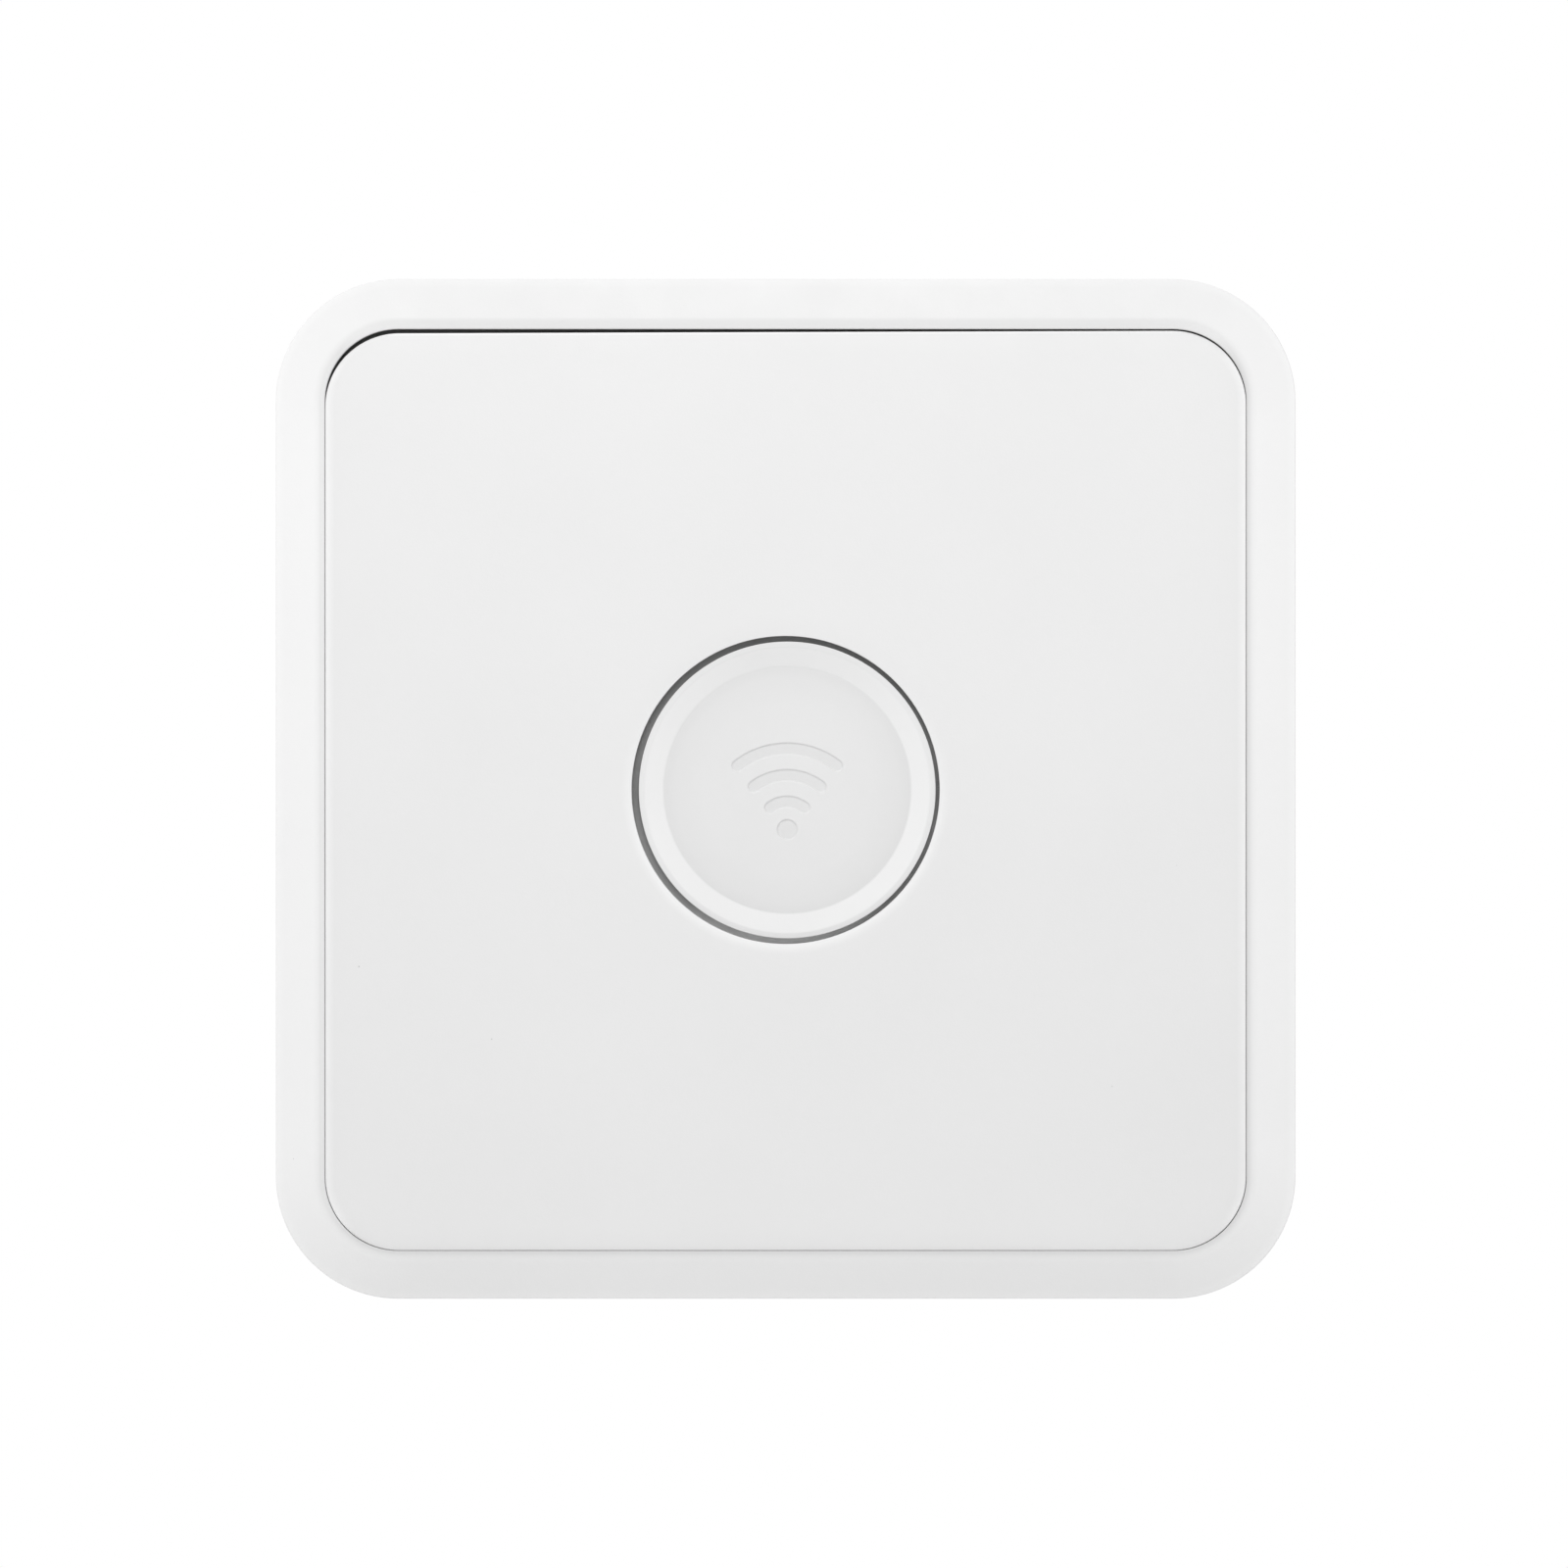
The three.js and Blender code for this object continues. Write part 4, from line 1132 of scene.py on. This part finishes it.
def case_screw(node):
    """A pan-head screw with a cross recess, its head towards the ceiling."""
    low, high = box_mm(node)
    head_r = (high.x - low.x) / 2
    face, tip = -high.y, -low.y
    head_end = face + SCREW["head"]
    profile = [
        (0.8, face, 0),
        (head_r - 0.8, face + 0.1, 1.5),
        (head_r, face + SCREW["head"] * 0.6, 0.5),
        (head_r, head_end, 0.15),
        (SCREW["core_r"], head_end, 0.1),
        *thread(head_end + 1.0, tip - 2),
        (SCREW["core_r"] - 0.05, tip - 1.5, 0.1),
        (0.3, tip, 0),
    ]
    screw = turned(node + "_turned", filleted(profile, steps=3, closed=False), steps=48)
    combined(screw, cross_recess(face, head_r), "DIFFERENCE")
    screw.location = ((low.x + high.x) / 2 * MM, 0, (low.z + high.z) / 2 * MM)
    stand_for(screw, node)


# ------------------------------------------------ springs


def coil_spring(node, size, fixed, moved):
    """A compression spring with closed ends, standing between two seats.

    Fixed and moved are the heights of its seats at rest. size["travel"], how far the second one comes
    towards the first, is not used.
    """
    clear = 0.1  # between the wire and each seat
    crowding = 0.12  # how much closer the coils lie at both ends than in the middle
    low, high = sorted((fixed, moved))
    low += size["wire_r"] + clear
    high -= size["wire_r"] + clear
    steps = 40 * size["turns"]
    loops = []
    for step in range(steps + 1):
        share = step / steps
        turn = 2 * math.pi * size["turns"] * share
        height = low + (high - low) * (share - crowding * math.sin(2 * math.pi * share))
        loops.append(
            [
                (
                    size["x"] + (size["radius"] + out) * math.cos(turn),
                    -(height + up),
                    size["z"] + (size["radius"] + out) * math.sin(turn),
                )
                for out, up in circle(size["wire_r"], 12)
            ]
        )
    spring = lofted(node + "_coil", loops)
    stand_for(spring, node)
    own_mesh(spring)


# ------------------------------------------------ carried-over nodes


def carried_nodes():
    """Every CAD node that still shows gets the finish of its slot."""
    for node, piece in frame["nodes"].items():
        paint(piece, MATERIALS[SLOT_OF[node]])
        shaded(piece)


# ------------------------------------------------ stage


def floor():
    """A pale floor well below the unit, which fades out towards its edge."""
    points = [(x, y, -FLOOR_DROP) for x, y in circle(FLOOR_RADIUS, 96)]
    piece = new_piece("floor", points, [tuple(range(len(points)))])
    look = Look("floor", (0.86, 0.86, 0.86), 0.8)
    look.set_colour(look.varied_colour(400, 0.01))
    distance = look.node("ShaderNodeVectorMath", Vector=look.place)
    distance.operation = "LENGTH"
    fade_start, fade_end = (at * MM for at in FLOOR_FADE)
    solid = look.ranged(distance.outputs["Value"], 1, 0, fade_start, fade_end)
    look.tree.links.new(solid, look.shader.inputs["Alpha"])
    piece.data.materials.append(look.made)


def world():
    """White to the camera. As a light it is brightest towards the upper left."""
    brightest = Vector((-0.25, 0.25, 0.8)).normalized()
    dim, bright = 0.365, 0.75
    made = bpy.data.worlds.new("studio")
    bpy.context.scene.world = made
    made.use_nodes = True
    tree = made.node_tree
    place = tree.nodes.new("ShaderNodeTexCoord").outputs["Generated"]
    facing = tree.nodes.new("ShaderNodeVectorMath")
    facing.operation = "DOT_PRODUCT"
    facing.inputs[1].default_value = brightest
    tree.links.new(place, facing.inputs[0])
    level = tree.nodes.new("ShaderNodeMapRange")
    level.inputs["From Min"].default_value = -1
    level.inputs["To Min"].default_value = dim
    level.inputs["To Max"].default_value = bright
    tree.links.new(facing.outputs["Value"], level.inputs["Value"])
    seen = tree.nodes.new("ShaderNodeLightPath").outputs["Is Camera Ray"]
    strength = tree.nodes.new("ShaderNodeMath")
    strength.operation = "MAXIMUM"
    tree.links.new(level.outputs["Result"], strength.inputs[0])
    tree.links.new(seen, strength.inputs[1])
    tree.links.new(strength.outputs["Value"], tree.nodes["Background"].inputs["Strength"])
    tree.nodes["Background"].inputs["Color"].default_value = (1, 1, 1, 1)


def soft_light(name, place, side, power):
    """A square soft box that faces the unit."""
    data = bpy.data.lights.new(name, "AREA")
    data.size = side
    data.energy = power
    light = bpy.data.objects.new(name, data)
    light.location = place
    light.rotation_euler = (-Vector(place)).to_track_quat("-Z", "Y").to_euler()
    bpy.context.scene.collection.objects.link(light)


def camera():
    """Straight on to the front, from far enough for a long lens."""
    data = bpy.data.cameras.new("camera")
    data.lens = 135
    data.sensor_width = 36
    distance = CAMERA["width_seen"] * data.lens / data.sensor_width + FRONT - EDGE_R
    made = bpy.data.objects.new("camera", data)
    # The unit stands a little low and to the right in the picture.
    made.location = Vector((-CAMERA["left"], -distance, CAMERA["above"])) * MM
    made.rotation_euler = (math.radians(90), 0, 0)
    bpy.context.scene.collection.objects.link(made)
    bpy.context.scene.camera = made


# ------------------------------------------------ the scene

front_frame()
front_plate()
center_button()
light_guide_ring()
mounting_bracket()
rear_cover()
for corner in range(1, 5):
    case_screw(f"case_screw_{corner}")
coil_spring("button_spring", BUTTON_SPRING, BOARD_FRONT, BUTTON_UNDERSIDE)
coil_spring("detent_spring", DETENT_SPRING, BRIDGE["low"], DETENT_FLANGE)
carried_nodes()

floor()
world()
for name, light in SOFT_LIGHTS.items():
    soft_light(name, **light)
camera()
bpy.context.scene.view_settings.view_transform = "Standard"
